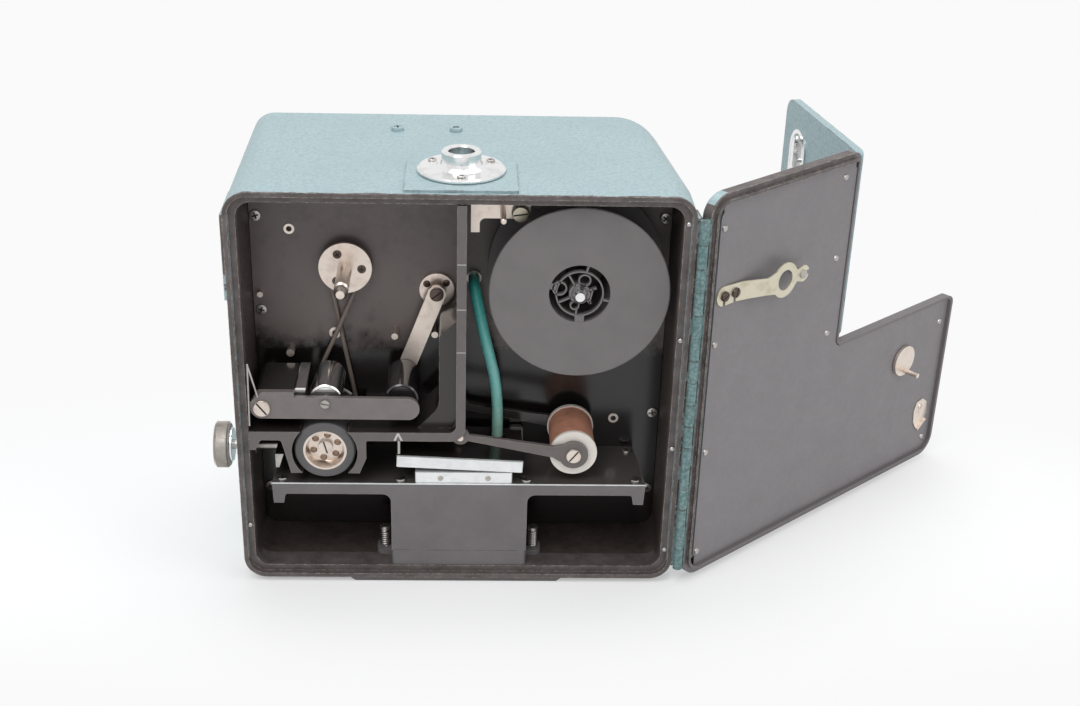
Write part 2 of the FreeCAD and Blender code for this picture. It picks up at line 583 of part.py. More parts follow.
def make_divider():
    """The L-shaped cast wall between the chambers, with the yoke round the metering roller."""
    left, right = "divider_x - divider_wall/2", "divider_x + divider_wall/2"
    top, low = height("shelf_top"), height("shelf_top - shelf_wall")
    length = "chamber_depth - divider_front"
    body = new_body("chamber_divider")
    pad(body, outline(new_sketch(body, "XZ", depth("divider_front")), [
        (left, height("casing_height - casing_wall - fit_gap")), (left, top, "divider_inner"),
        (f"-({INSIDE}) + fit_gap", top), (f"-({INSIDE}) + fit_gap", height("77.6")),
        (f"-({INSIDE}) + 3.2", height("77.6")), (f"-({INSIDE}) + 6", low, "1.5"),
        ("wheel_x - 22.5", low, "2"), ("wheel_x - 18", height("yoke_bottom")),
        ("wheel_x + 18", height("yoke_bottom")), ("wheel_x + 21.8", height("yoke_bottom + 9")),
        ("wheel_x + 21.8", low, "1"), (right, low, "divider_corner"),
        (right, height("casing_height - casing_wall - fit_gap")),
    ]), length)
    thick = outline(new_sketch(body, "XZ", depth("corner_block_front")), [
        ("divider_x", height("corner_block_top")), (left, height("corner_block_top")),
        (f"{left} - corner_block", height("corner_block_top - 9"), "4"),
        (f"{left} - corner_block", height("shelf_top + 12"), "10"),
        (f"{left} - corner_block - 12", height("shelf_top - 1")), ("divider_x", height("shelf_top - 1")),
    ])
    pad(body, thick, "strap_front - 3 - corner_block_front")
    arch = ring(new_sketch(body, "XZ", depth("divider_front")), *WHEEL, "wheel_radius + yoke_gap")
    pocket(body, arch, "yoke_back - divider_front")
    space = outline(new_sketch(body, "XZ", depth("yoke_back + yoke_web")), box_corners(
        "wheel_x - wheel_pulley_pitch - 4", "wheel_x + wheel_pulley_pitch + 4",
        height("yoke_bottom - 2"), height("shelf_top + 1")))
    pocket(body, space, "chamber_depth - yoke_back - yoke_web")
    bore = ring(new_sketch(body, "XZ", depth("yoke_back")), *WHEEL, "rear_shaft + 0.5")
    pocket(body, bore, "yoke_web")
    for start, end in (("dancer_front - relief_gap", "dancer_front + dancer_arm_wall + relief_gap"),
                       ("dancer_back - relief_gap", "chamber_depth")):
        relief = ring(new_sketch(body, "XZ", depth(start)), *DANCER_PIVOT, "relief_radius")
        pocket(body, relief, f"({end}) - ({start})")
    pivot = ring(new_sketch(body, "XZ", depth("divider_front + 0.8")), *DANCER_PIVOT, "dancer_pin")
    pocket(body, pivot, "10")
    keep("chamber_divider", body)
    keep("dancer_pivots", group(
        "dancer_pivots",
        rod("dancer_pivot_front", "Y", DANCER_PIVOT[0], depth("divider_front + 0.8"), DANCER_PIVOT[1],
            "dancer_pin", "10"),
        rod("dancer_pivot_back", "Y", DANCER_PIVOT[0], depth("dancer_back - relief_gap"), DANCER_PIVOT[1],
            "dancer_pin", "chamber_depth + plate_thickness - dancer_back + relief_gap")))


def make_platform():
    """The film platform on the lens block, with its folded front flange."""
    top, low = height("platform_top"), height("platform_top - platform_plate")
    table = plate("platform_table", "XY", low, "platform_plate", [
        ("-platform_half", depth("platform_front")), ("platform_half", depth("platform_front")),
        ("platform_half - 3", depth("chamber_depth - fit_gap")),
        ("-platform_half + 3", depth("chamber_depth - fit_gap")),
    ])
    flange = plate("platform_flange", "XZ", depth("platform_front"), "flange_wall", [
        ("-platform_half", top), ("platform_half", top), ("platform_half - 0.6", height("platform_top - hook_drop")),
        ("platform_half - hook_width", height("platform_top - hook_drop")),
        ("platform_half - hook_width - 1", height("platform_top - flange_drop"), "1.5"),
        ("-platform_half + hook_width + 1", height("platform_top - flange_drop"), "1.5"),
        ("-platform_half + hook_width", height("platform_top - hook_drop")),
        ("-platform_half + 0.6", height("platform_top - hook_drop")),
    ])
    opening = block("platform_opening", "-aperture_width/2 - 4", depth("axis_depth - aperture_depth/2"), low,
                    "aperture_width + 8", "aperture_depth", "platform_plate")
    ports = [rod(f"platform_screw_port_{index}", "Z", x, depth(d), low, "1.2", "platform_plate")
             for index, (x, d) in enumerate(PLATFORM_SCREWS)]
    keep("film_platform", carve("film_platform", join("platform_solid", table, flange), opening, *ports))
    keep("platform_screws", group("platform_screws", *[
        flipped_screw(f"platform_screw_{index}", x, depth(d), top, "2.6", "1", "1.2", "platform_plate")
        for index, (x, d) in enumerate(PLATFORM_SCREWS)
    ]))


# Screws in the film platform: place across and depth.
PLATFORM_SCREWS = (("5 - platform_half", "9.5"), ("-31.5", "8.8"), ("36", "8.8"), ("platform_half - 5", "9.5"),
                   ("platform_half - 7", "42"), ("7 - platform_half", "42"))


def flipped_screw(name, x, y, z, head, head_wall, shank, length):
    """A screw whose head looks up and whose shank runs down."""
    return turned(name, "Z", x, y, z, [
        ("0", f"-({length})"), (shank, f"-({length})"), (shank, "0"), (head, "0"),
        (f"0.85*({head})", head_wall), ("0", head_wall),
    ])


def make_lens_block():
    """The block under the gate, its base with two sprung studs, the lens and its shutter."""
    under = height("platform_top - platform_plate")
    upper = plate("lens_block_upper", "XY", height("block_base + 0.2"), f"({under}) - ({height('block_base + 0.2')})",
                  box_corners("-block_half", "block_half", depth("block_front"), depth("chamber_depth - fit_gap"), "2"),
                  [("0", depth("axis_depth"), "lens_bore")])
    rebate = block("housing_rebate", "-block_half - 1", depth("block_front - 1"), height("platform_top - hook_drop"),
                   "2*block_half + 2", "platform_front + flange_wall - block_front + 1", "hook_drop")
    keep("lens_housing", carve("lens_housing", upper, rebate))
    base = plate("lens_block_base", "XY", height("casing_wall"), "block_base - casing_wall",
                 box_corners("-block_half", "block_half", depth("block_front"), depth("chamber_depth - fit_gap"), "2"),
                 [("0", depth("axis_depth"), "lens_bore")])
    ears = plate("lens_block_ears", "XY", height("casing_wall"), "ear_height", box_corners(
        "-ear_half", "ear_half", depth("stud_depth - 6"), depth("stud_depth + 6"), "4"),
        [("0", depth("axis_depth"), "lens_bore")])
    ports = [rod(f"stud_port_{side}", "Z", f"{sign}stud_x", depth("stud_depth"), height("casing_wall"),
                 "stud_radius", "ear_height") for side, sign in (("left", "-"), ("right", ""))]
    keep("lens_base", carve("lens_base", join("lens_base_solid", base, ears), *ports))
    studs, springs = [], []
    for side, sign in (("left", "-"), ("right", "")):
        studs.append(turned(f"stud_{side}", "Z", f"{sign}stud_x", depth("stud_depth"), height("casing_wall"), [
            ("0", "0"), ("stud_radius", "0"), ("stud_radius", "stud_top - casing_wall - 2"),
            ("stud_radius + 1.2", "stud_top - casing_wall - 2"), ("stud_radius + 1.2", "stud_top - casing_wall"),
            ("0", "stud_top - casing_wall")]))
        springs.append(sleeve(f"stud_spring_{side}", "Z", f"{sign}stud_x", depth("stud_depth"),
                              height("casing_wall + ear_height"), "stud_spring", "stud_radius + 0.3",
                              "stud_top - casing_wall - ear_height - 2"))
    keep("focus_studs", group("focus_studs", *studs))
    keep("stud_springs", group("stud_springs", *springs))
    low = height("0.5")
    keep("lens_barrel", turned("lens_barrel", "Z", "0", depth("axis_depth"), low, [
        ("lens_radius - 5", "0"), ("lens_radius - 1", "0"), ("lens_radius", "1"), ("lens_radius", "14"),
        ("lens_bore - 0.2", "16"), ("lens_bore - 0.2", "22"), ("lens_radius - 1", "24"), ("lens_radius - 1", "30"),
        ("lens_radius - 5", "30"), ("lens_radius - 5", "24"), ("lens_radius - 4", "24"), ("lens_radius - 4", "8"),
        ("lens_radius - 5", "8")]))
    keep("lens_glass", group("lens_glass", *[
        rod(f"lens_element_{index}", "Z", "0", depth("axis_depth"), f"{low} + {start}", "lens_radius - 4", "3.4")
        for index, start in enumerate(("9", "16.5"))
    ]))
    keep("shutter_case", turned("shutter_case", "Z", "0", depth("axis_depth"), f"{low} + 31", [
        ("9", "0"), ("lens_bore - 0.2", "0"), ("lens_bore - 0.2", "9"), ("9", "9")]))


def make_gate():
    """The fixed film track and the pressure plate that drops on it."""
    top = height("platform_top")
    track = plate("track_bar", "XY", top, "gate_height", box_corners(
        "gate_left", "gate_right", depth("gate_front"), depth("gate_front + gate_depth"), "1"))
    window = block("gate_window", "-aperture_width/2", depth("axis_depth - aperture_depth/2 + 2"), top,
                   "aperture_width", "aperture_depth - 4", "gate_height")
    keep("gate_track", carve("film_track", track, window))
    pivot = ("pressure_right - 3.2", height("platform_top + gate_height + 0.4 + pressure_height/2"))
    end = "gate_front + gate_depth"
    stand = plate("gate_stand", "XZ", depth(f"{end} + 0.4"), "3", [
        ("pressure_right - 7", top), ("pressure_right + 1", top),
        ("pressure_right + 1", f"{pivot[1]} + 4", "2"), ("pressure_right - 7", f"{pivot[1]} + 4", "2"),
    ], [(*pivot, "1.25")])
    keep("gate_stand", stand)
    flat = plate("pressure_flat", "XY", height("platform_top + gate_height + 0.4"), "pressure_height", box_corners(
        "pressure_left", "pressure_right", depth("gate_front"), depth(end), "1"))
    bore = rod("pressure_bore", "Y", pivot[0], depth("gate_front + 2"), pivot[1], "1.2", "gate_depth")
    port = rod("pressure_pipe_port", "Z", "pipe_foot_x", depth("pipe_depth"), top, "pipe_radius + 1.6",
               "gate_height + pressure_height + 2")
    lifted = carve("pressure_plate", flat, bore, port)
    lifted.Placement = Placement(Vector(), Rotation(Vector(0, 1, 0), 1))
    lifted.setExpression("Placement.Rotation.Angle", bind("pressure_lift"))
    lifted.setExpression("Placement.Base.x", bind(
        f"({pivot[0]})*(1 - cos(pressure_lift)) - ({pivot[1]})*sin(pressure_lift)"))
    lifted.setExpression("Placement.Base.z", bind(
        f"({pivot[1]})*(1 - cos(pressure_lift)) + ({pivot[0]})*sin(pressure_lift)"))
    keep("pressure_plate", lifted)
    keep("pressure_pin", rod("pressure_pin", "Y", pivot[0], depth("gate_front + 2"), pivot[1], "1.2", "gate_depth + 1"))
    stop_low = "platform_top + gate_height + 0.4 + pressure_height + 3.6"
    keep("gate_stop", rod("gate_stop", "Z", "pressure_left + 1.4", depth("gate_front + 2.5"), height(stop_low),
                          "0.9", f"shelf_top - shelf_wall - ({stop_low})"))


def make_takeup():
    """The take-up spindle with its drive disc, and the belt pulley behind the disc."""
    start = depth("spindle_front")
    reach = "disc_front - spindle_front"
    spindle = turned("takeup_spindle", "Y", TAKEUP[0], start, TAKEUP[1], [
        ("0", "0"), ("2.2", "0.6"), ("3.6", "3"), ("3.6", "5"), ("2.8", "6.4"), ("2.8", "7.4"),
        ("spindle_radius - 0.2", "8.4"), ("spindle_radius - 0.2", reach), ("disc_radius", reach),
        ("disc_radius", f"{reach} + disc_thickness"), ("rear_shaft", f"{reach} + disc_thickness"),
        ("rear_shaft", "rear_shaft_end - spindle_front"), ("0", "rear_shaft_end - spindle_front")])
    sketch = new_sketch(spindle, "XY", reach)
    for angle in (117, 237, 357):
        ring(sketch, f"disc_hole_ring*cos({angle})", f"-disc_hole_ring*sin({angle})", "disc_hole")
    pocket(spindle, sketch, "disc_thickness")
    keep("takeup_spindle", spindle)
    keep("takeup_pulley", pulley("takeup_pulley", TAKEUP, "takeup_pulley_pitch"))


def pulley(name, place, pitch):
    """A pulley whose groove clears the round belt."""
    floor_radius = f"{pitch} - belt_radius - belt_gap"
    return turned(name, "Y", place[0], depth("belt_depth - pulley_width/2"), place[1], [
        ("rear_shaft", "0"), (f"{pitch} + pulley_flange", "0"), (f"{pitch} + pulley_flange", "0.3"),
        (floor_radius, "pulley_width/2 - 0.9"), (floor_radius, "pulley_width/2 + 0.9"),
        (f"{pitch} + pulley_flange", "pulley_width - 0.3"), (f"{pitch} + pulley_flange", "pulley_width"),
        ("rear_shaft", "pulley_width")])


def make_metering():
    """The rubber-tyred metering roller on its shaft, with pulley and gear."""
    front = depth("wheel_front")
    length = "wheel_back - wheel_front"
    keep("metering_tyre", turned("metering_tyre", "Y", WHEEL[0], front, WHEEL[1], [
        ("hub_radius", "0"), ("wheel_radius - 0.8", "0"), ("wheel_radius", "0.8"), ("wheel_radius", f"{length} - 0.8"),
        ("wheel_radius - 0.8", length), ("hub_radius", length)]))
    hub = turned("metering_hub", "Y", WHEEL[0], front, WHEEL[1], [
        ("hub_radius", "0"), ("hub_radius", length), ("rear_shaft", length), ("rear_shaft", "hub_recess"),
        ("hub_radius - hub_rim - 1.4", "hub_recess"), ("hub_radius - hub_rim", "0.6"), ("hub_radius - hub_rim", "0")])
    sketch = new_sketch(hub, "XY", "hub_recess")
    for index in range(6):
        angle = HUB_HOLE_START + 60 * index
        ring(sketch, f"hub_hole_ring*cos({angle})", f"-hub_hole_ring*sin({angle})", "hub_hole")
    pocket(hub, sketch, "6")
    keep("metering_hub", hub)
    keep("metering_shaft", turned("metering_shaft", "Y", WHEEL[0], depth("wheel_front + hub_recess - 1.6"), WHEEL[1], [
        ("0", "0"), ("wheel_screw - 0.5", "0"), ("wheel_screw", "0.5"), ("wheel_screw", "1.6"), ("rear_shaft", "1.6"),
        ("rear_shaft", "wheel_shaft_end - wheel_front - hub_recess + 1.6"),
        ("0", "wheel_shaft_end - wheel_front - hub_recess + 1.6")]))
    keep("metering_pulley", pulley("metering_pulley", WHEEL, "wheel_pulley_pitch"))


# Angle of the first of the six holes in the metering hub, in degrees.
HUB_HOLE_START = 20


def make_belt():
    """The crossed round belt, as tube runs tangent to both pulleys."""
    here = Vector(size(TAKEUP[0]), 0, size(TAKEUP[1]))
    there = Vector(size(WHEEL[0]), 0, size(WHEEL[1]))
    small, large, wire = size("takeup_pulley_pitch"), size("wheel_pulley_pitch"), size("belt_radius")
    belt_lap = 0.4 * wire
    run_radius = 0.94 * wire
    middle_y = size(depth("belt_depth"))
    span = there - here
    apart = span.Length
    along = Vector(span).normalize()
    across = Vector(0, 1, 0).cross(along)
    lean = math.asin((small + large) / apart)
    pieces = []
    ends = {}
    for side in (1, -1):
        normal = along * math.sin(lean) + across * (side * math.cos(lean))
        first = here + normal * small
        second = there - normal * large
        ends[side] = (first, second)
        crossing = first + (second - first) * (small / (small + large))
        offset = Vector(0, side * 1.08 * wire, 0)
        lift = Vector(0, middle_y, 0)
        reach = (second - first).normalize() * belt_lap
        run = [first + lift - reach, crossing + lift + offset, second + lift + reach]
        pieces += [tube_run(begin, finish, run_radius) for begin, finish in zip(run, run[1:])]
        pieces.append(Part.makeSphere(wire, run[1]))
    for centre, index in ((here, 0), (there, 1)):
        lift = Vector(0, middle_y, 0)
        pieces.append(tube_bend(centre + lift, ends[1][index] + lift, ends[-1][index] + lift, wire, True))
    item = doc.addObject("Part::Feature", "drive_belt")
    item.Shape = pieces[0].multiFuse(pieces[1:]).removeSplitter()
    keep("drive_belt", item)


def make_guide_arm():
    """The swinging guide arm with its block, film guide and chrome roller."""
    bar = plate("guide_bar", "XZ", depth("guide_bar_front"), "guide_bar_wall", [
        ("guide_pivot_x - guide_bar_half", height("guide_pivot_height - guide_bar_half"), "guide_bar_half - 0.1"),
        ("guide_bar_end + guide_bar_half", height("guide_pivot_height - guide_bar_half - 0.3"), "guide_bar_half - 0.1"),
        ("guide_bar_end + guide_bar_half", height("guide_pivot_height + guide_bar_half - 0.3"), "guide_bar_half - 0.1"),
        ("guide_block_right", height("guide_pivot_height + guide_bar_half")),
        ("guide_block_right", height("guide_block_top")),
        ("guide_pivot_x", height("guide_block_top"), "3"),
        ("guide_pivot_x - guide_bar_half", height("guide_pivot_height + 3"), "2.5"),
    ])
    block_body = plate("guide_block", "XZ", depth("guide_bar_front + guide_bar_wall"),
                       "guide_back - guide_bar_front - guide_bar_wall", [
        ("guide_pivot_x - 5", height("guide_block_bottom"), "3"), ("guide_block_right", height("guide_block_bottom")),
        ("guide_block_right", height("guide_block_top"), "1"), ("guide_pivot_x - 2", height("guide_block_top"), "2"),
        ("guide_pivot_x - 5", height("guide_pivot_height + 4"), "1"),
    ])
    bore = rod("guide_bore", "Y", GUIDE_PIVOT[0], depth("0"), GUIDE_PIVOT[1], "pivot_radius + running_gap", "60")
    axle_port = rod("guide_axle_port", "Y", GUIDE_ROLLER[0], depth("guide_bar_front - 1"), GUIDE_ROLLER[1],
                    "axle_radius", "guide_bar_wall + 2")
    keep("guide_arm", carve("guide_arm", join("guide_arm_solid", bar, block_body), bore, axle_port))
    guide = plate("film_guide", "XZ", depth("guide_roller_front"), "guide_back - guide_roller_front", [
        ("guide_block_right", height("guide_block_bottom + 2")), ("film_guide_right - 2", height("guide_block_bottom + 2")),
        ("film_guide_right", height("film_guide_top")), ("guide_block_right", height("film_guide_top"), "1"),
    ])
    keep("film_guide", guide)
    keep("guide_axle", turned("guide_axle", "Y", GUIDE_ROLLER[0], depth("guide_bar_front - 0.8"), GUIDE_ROLLER[1], [
        ("0", "0"), ("2.1", "0"), ("2.4", "0.3"), ("2.4", "0.8"), ("axle_radius", "0.8"),
        ("axle_radius", "guide_back - guide_bar_front + 0.8"), ("0", "guide_back - guide_bar_front + 0.8")]))
    keep("guide_pivot", turned("guide_pivot", "Y", GUIDE_PIVOT[0], depth("guide_bar_front - 1.2"), GUIDE_PIVOT[1], [
        ("0", "0"), ("3.8", "0"), ("4.3", "0.5"), ("4.3", "1.1"), ("pivot_radius", "1.1"),
        ("pivot_radius", "chamber_depth + plate_thickness - guide_bar_front + 1.2"),
        ("0", "chamber_depth + plate_thickness - guide_bar_front + 1.2")]))
    length = "guide_back - guide_roller_front - 0.6"
    keep("guide_roller", turned("guide_roller", "Y", GUIDE_ROLLER[0], depth("guide_roller_front"), GUIDE_ROLLER[1], [
        ("axle_radius + running_gap", "0.4"), ("guide_roller_radius - 1.6", "0.4"), ("guide_roller_radius - 1.2", "0"),
        ("guide_roller_radius - 0.5", "0"), ("guide_roller_radius", "0.5"), ("guide_roller_radius", length),
        ("axle_radius + running_gap", length)]))
    keep("arm_spring", hairpin())


def hairpin():
    """The wire spring between the left wall and the guide arm."""
    y = size(depth("2.15"))
    left = -size(INSIDE)
    foot = Vector(left + 0.9, y, size(height("92")))
    apex = Vector(left + 1.6, y, size(height("127")))
    tip = Vector(left + 6.0, y, size(height("108.6")))
    wire = 0.55
    pieces = [Part.makeCylinder(wire, (end - start).Length, start, end - start)
              for start, end in ((foot, apex), (apex, tip))]
    pieces.append(Part.makeSphere(wire, apex))
    item = doc.addObject("Part::Feature", "arm_spring")
    item.Shape = pieces[0].multiFuse(pieces[1:])
    return item


def make_tension_arm():
    """The strap arm on its bearing disc, with the black film roller."""
    lean_x = "(tension_roller_x - tension_pivot_x)"
    lean_z = "(tension_roller_height - tension_pivot_height)"
    reach = f"sqrt({lean_x}^2 + {lean_z}^2)"
    strap = new_body("tension_strap")
    pad(strap, outline(new_sketch(strap, "XZ", "0"), box_corners(
        "-strap_half", "strap_half", f"-({reach}) - strap_half", "strap_half", "strap_half - 0.05")), "strap_wall")
    sketch = ring(ring(new_sketch(strap, "XZ", "0"), "0", "0", "rear_shaft"), "0", f"-({reach})", "axle_radius")
    pocket(strap, sketch, "strap_wall")
    strap.Placement = Placement(Vector(), Rotation(Vector(0, 1, 0), 1))
    strap.setExpression("Placement.Rotation.Angle", bind(f"atan({lean_x}/{lean_z})"))
    for axis, text in zip("xyz", (TENSION_PIVOT[0], depth("strap_front"), TENSION_PIVOT[1])):
        strap.setExpression("Placement.Base." + axis, bind(text))
    keep("tension_arm", strap)
    keep("tension_shaft", turned("tension_shaft", "Y", TENSION_PIVOT[0], depth("strap_front - 1"), TENSION_PIVOT[1], [
        ("0", "0"), ("3.2", "0"), ("3.6", "0.4"), ("3.6", "1"), ("rear_shaft", "1"),
        ("rear_shaft", "rear_shaft_end - strap_front + 1"), ("0", "rear_shaft_end - strap_front + 1")]))
    keep("tension_axle", turned("tension_axle", "Y", TENSION_ROLLER[0], depth("tension_roller_front"), TENSION_ROLLER[1], [
        ("0", "0"), ("axle_radius", "0"), ("axle_radius", "strap_front + strap_wall - tension_roller_front"),
        ("0", "strap_front + strap_wall - tension_roller_front")]))
    length = "strap_front - 0.5 - tension_roller_front"
    keep("tension_roller", turned("tension_roller", "Y", TENSION_ROLLER[0], depth("tension_roller_front"),
                                  TENSION_ROLLER[1], [
        ("axle_radius + running_gap", "0.6"), ("tension_roller_radius - 1.6", "0.6"),
        ("tension_roller_radius - 0.8", "0"), ("tension_roller_radius", "0.6"), ("tension_roller_radius", length),
        ("axle_radius + running_gap", length)]))
    disc = sleeve("tension_bearing_disc", "Y", TENSION_PIVOT[0], depth("chamber_depth - tension_disc_wall"),
                  TENSION_PIVOT[1], "tension_disc", "rear_shaft + 0.3", "tension_disc_wall")
    keep("tension_bearing", disc)


def dancer_link(name, start):
    """One of the two side arms of the dancer."""
    lean_x = "(dancer_roller_x - dancer_x)"
    lean_z = "(dancer_roller_height - dancer_height)"
    reach = f"sqrt({lean_x}^2 + {lean_z}^2)"
    bar = plate(name + "_bar", "XZ", "0", "dancer_arm_wall", [
        ("0", "-dancer_neck/2"), (f"({reach}) - dancer_head - 3", "-dancer_neck"), (reach, "-dancer_head + 0.3"),
        (reach, "dancer_head - 0.3"), (f"({reach}) - dancer_head - 3", "dancer_neck"), ("0", "dancer_neck/2"),
    ])
    hub = rod(name + "_hub", "Y", "0", "0", "0", "dancer_hub", "dancer_arm_wall")
    head = rod(name + "_head", "Y", reach, "0", "0", "dancer_head", "dancer_arm_wall")
    pivot = rod(name + "_pivot", "Y", "0", "0", "0", "dancer_pin + running_gap", "dancer_arm_wall")
    eye = rod(name + "_eye", "Y", reach, "0", "0", "axle_radius", "dancer_arm_wall")
    arm = carve(name, join(name + "_solid", bar, hub, head), pivot, eye)
    arm.Placement = Placement(Vector(), Rotation(Vector(0, 1, 0), 1))
    arm.setExpression("Placement.Rotation.Angle", bind(f"-atan({lean_z}/{lean_x})"))
    for axis, text in zip("xyz", (DANCER_PIVOT[0], depth(start), DANCER_PIVOT[1])):
        arm.setExpression("Placement.Base." + axis, bind(text))
    return arm


def make_dancer():
    """The dancer: two arms, an axle and the brown roller between cream discs."""
    keep("dancer_arms", group("dancer_arms", dancer_link("dancer_arm_front", "dancer_front"),
                              dancer_link("dancer_arm_back", "dancer_back")))
    back = "dancer_back + dancer_arm_wall"
    keep("dancer_axle", turned("dancer_axle", "Y", DANCER_ROLLER[0], depth("dancer_front - 1"), DANCER_ROLLER[1], [
        ("0", "0"), ("3.4", "0"), ("3.9", "0.4"), ("3.9", "1"), ("axle_radius", "1"),
        ("axle_radius", f"{back} - dancer_front + 1"), ("0", f"{back} - dancer_front + 1")]))
    start = "dancer_front + dancer_arm_wall + 0.5"
    end = "dancer_back - 0.5"
    span = f"({end}) - ({start})"
    keep("dancer_roller", turned("dancer_roller", "Y", DANCER_ROLLER[0], depth(f"{start} + 2"), DANCER_ROLLER[1], [
        ("axle_radius + 1.4", "0"), ("dancer_sleeve", "0"), ("dancer_sleeve", f"{span} - 4"),
        ("axle_radius + 1.4", f"{span} - 4")]))
    discs = []
    for name, begin in (("front", start), ("back", f"{end} - 2")):
        discs.append(sleeve(f"dancer_disc_{name}", "Y", DANCER_ROLLER[0], depth(begin), DANCER_ROLLER[1],
                            "dancer_disc", "axle_radius + 1.4", "2"))
    core = sleeve("dancer_core", "Y", DANCER_ROLLER[0], depth(start), DANCER_ROLLER[1], "axle_radius + 1.4",
                  "axle_radius + running_gap", span)
    keep("dancer_discs", join("dancer_discs", core, *discs))


def make_supply():
    """The supply reel with its slotted hub, on its spindle."""
    width = "reel_width"
    reel = turned("reel_form", "Y", SUPPLY[0], depth("reel_front"), SUPPLY[1], [
        ("spindle_radius + 0.1", "0"), ("reel_radius - 0.5", "0"), ("reel_radius", "0.5"), ("reel_radius", "reel_flange"),
        ("reel_core", "reel_flange"), ("reel_core", f"{width} - reel_flange"),
        ("reel_radius", f"{width} - reel_flange"), ("reel_radius", width), ("reel_core - reel_core_wall", width),
        ("reel_core - reel_core_wall", "2.4"), ("reel_boss", "2.4"), ("reel_boss", f"{width} - 4"),
        ("spindle_radius + 0.1", f"{width} - 4")])
    slots = []
    for index, (start, sweep) in enumerate(REEL_SLOTS):
        wide = rod(f"reel_slot_outer_{index}", "Z", "0", "0", "0", "slot_outer", "3")
        wide.Angle = sweep
        narrow = rod(f"reel_slot_inner_{index}", "Z", "0", "0", "-1", "slot_inner", "5")
        slot = carve(f"reel_slot_{index}", wide, narrow)
        slot.Placement = Placement(Vector(size(SUPPLY[0]), size(depth("reel_front - 0.3")), size(SUPPLY[1])),
                                   ALONG_Y * Rotation(Vector(0, 0, 1), -start - sweep))
        for axis, text in zip("xyz", (SUPPLY[0], depth("reel_front - 0.3"), SUPPLY[1])):
            slot.setExpression("Placement.Base." + axis, bind(text))
        slots.append(slot)
    keep("supply_reel", carve("supply_reel", reel, *slots))
    keep("supply_spindle", turned("supply_spindle", "Y", SUPPLY[0], depth("spindle_front"), SUPPLY[1], [
        ("0", "0"), ("2.4", "0.5"), ("spindle_radius - 0.3", "2.4"), ("spindle_radius - 0.3", "4"),
        ("spindle_radius", "5"), ("spindle_radius", "chamber_depth - spindle_front - 0.4"),
        ("rear_shaft", "chamber_depth - spindle_front - 0.4"), ("rear_shaft", "rear_shaft_end - spindle_front"),
        ("0", "rear_shaft_end - spindle_front")]))


# Slots in the reel's hub: first angle and sweep in degrees.
REEL_SLOTS = ((-8, 76), (82, 76), (172, 90), (281, 57))


def make_feeler():
    """The bracket under the ceiling and the feeler lever on it."""
    top = height("casing_height - casing_wall - fit_gap")
    hanging = plate("bracket_plate", "XZ", depth("bracket_depth"), "bracket_wall", [
        ("bracket_left", top), ("bracket_left", height("bracket_low")),
        ("bracket_left + bracket_tab", height("bracket_low")), ("bracket_left + bracket_tab", height("bracket_mid"), "3"),
        ("bracket_right + 5", height("bracket_mid")), ("bracket_right + 9", height("bracket_mid + 4")),
        ("bracket_right + 9", height("bracket_mid + 7")), ("bracket_right", height("bracket_mid + 9")),
        ("bracket_right", top),
    ], [(*FEELER, "1.6"), ("bracket_pin_x", height("bracket_pin_height"), "1.5")])
    foot = block("bracket_foot", "bracket_left", depth("bracket_depth + bracket_wall"), f"{top} - bracket_wall",
                 "bracket_right - bracket_left", "9", "bracket_wall")
    keep("feeler_bracket", join("feeler_bracket", hanging, foot))
    keep("bracket_pins", group(
        "bracket_pins",
        turned("bracket_pin", "Y", "bracket_pin_x", depth("bracket_depth - 20"), height("bracket_pin_height"), [
            ("0", "0"), ("1.1", "0"), ("1.5", "0.4"), ("1.5", "20 + bracket_wall"), ("0", "20 + bracket_wall")]),
        turned("feeler_stud", "Y", FEELER[0], depth("bracket_depth - 4"), FEELER[1], [
            ("0", "0"), ("3.4", "0"), ("3.9", "0.5"), ("3.9", "1.3"), ("1.6", "1.3"), ("1.6", "4 + bracket_wall"),
            ("0", "4 + bracket_wall")])))
    lever = plate("feeler_bar", "XZ", depth("bracket_depth - 2.2"), "1.6", [
        (FEELER[0], f"{FEELER[1]} - 2"), ("feeler_reach_x", height("feeler_reach_height - 1.5")),
        ("feeler_reach_x + 1", height("feeler_reach_height + 1.5")), (FEELER[0], f"{FEELER[1]} + 2.6"),
    ])
    hub = rod("feeler_hub", "Y", FEELER[0], depth("bracket_depth - 2.2"), FEELER[1], "feeler_hub", "1.6")
    bore = rod("feeler_bore", "Y", FEELER[0], depth("bracket_depth - 3"), FEELER[1], "1.6 + running_gap", "4")
    tip = rod("feeler_tip", "Y", "feeler_reach_x", depth("bracket_depth - 2.2"), height("feeler_reach_height"), "2", "9")
    keep("supply_feeler", carve("supply_feeler", join("supply_feeler_solid", lever, hub, tip), bore))


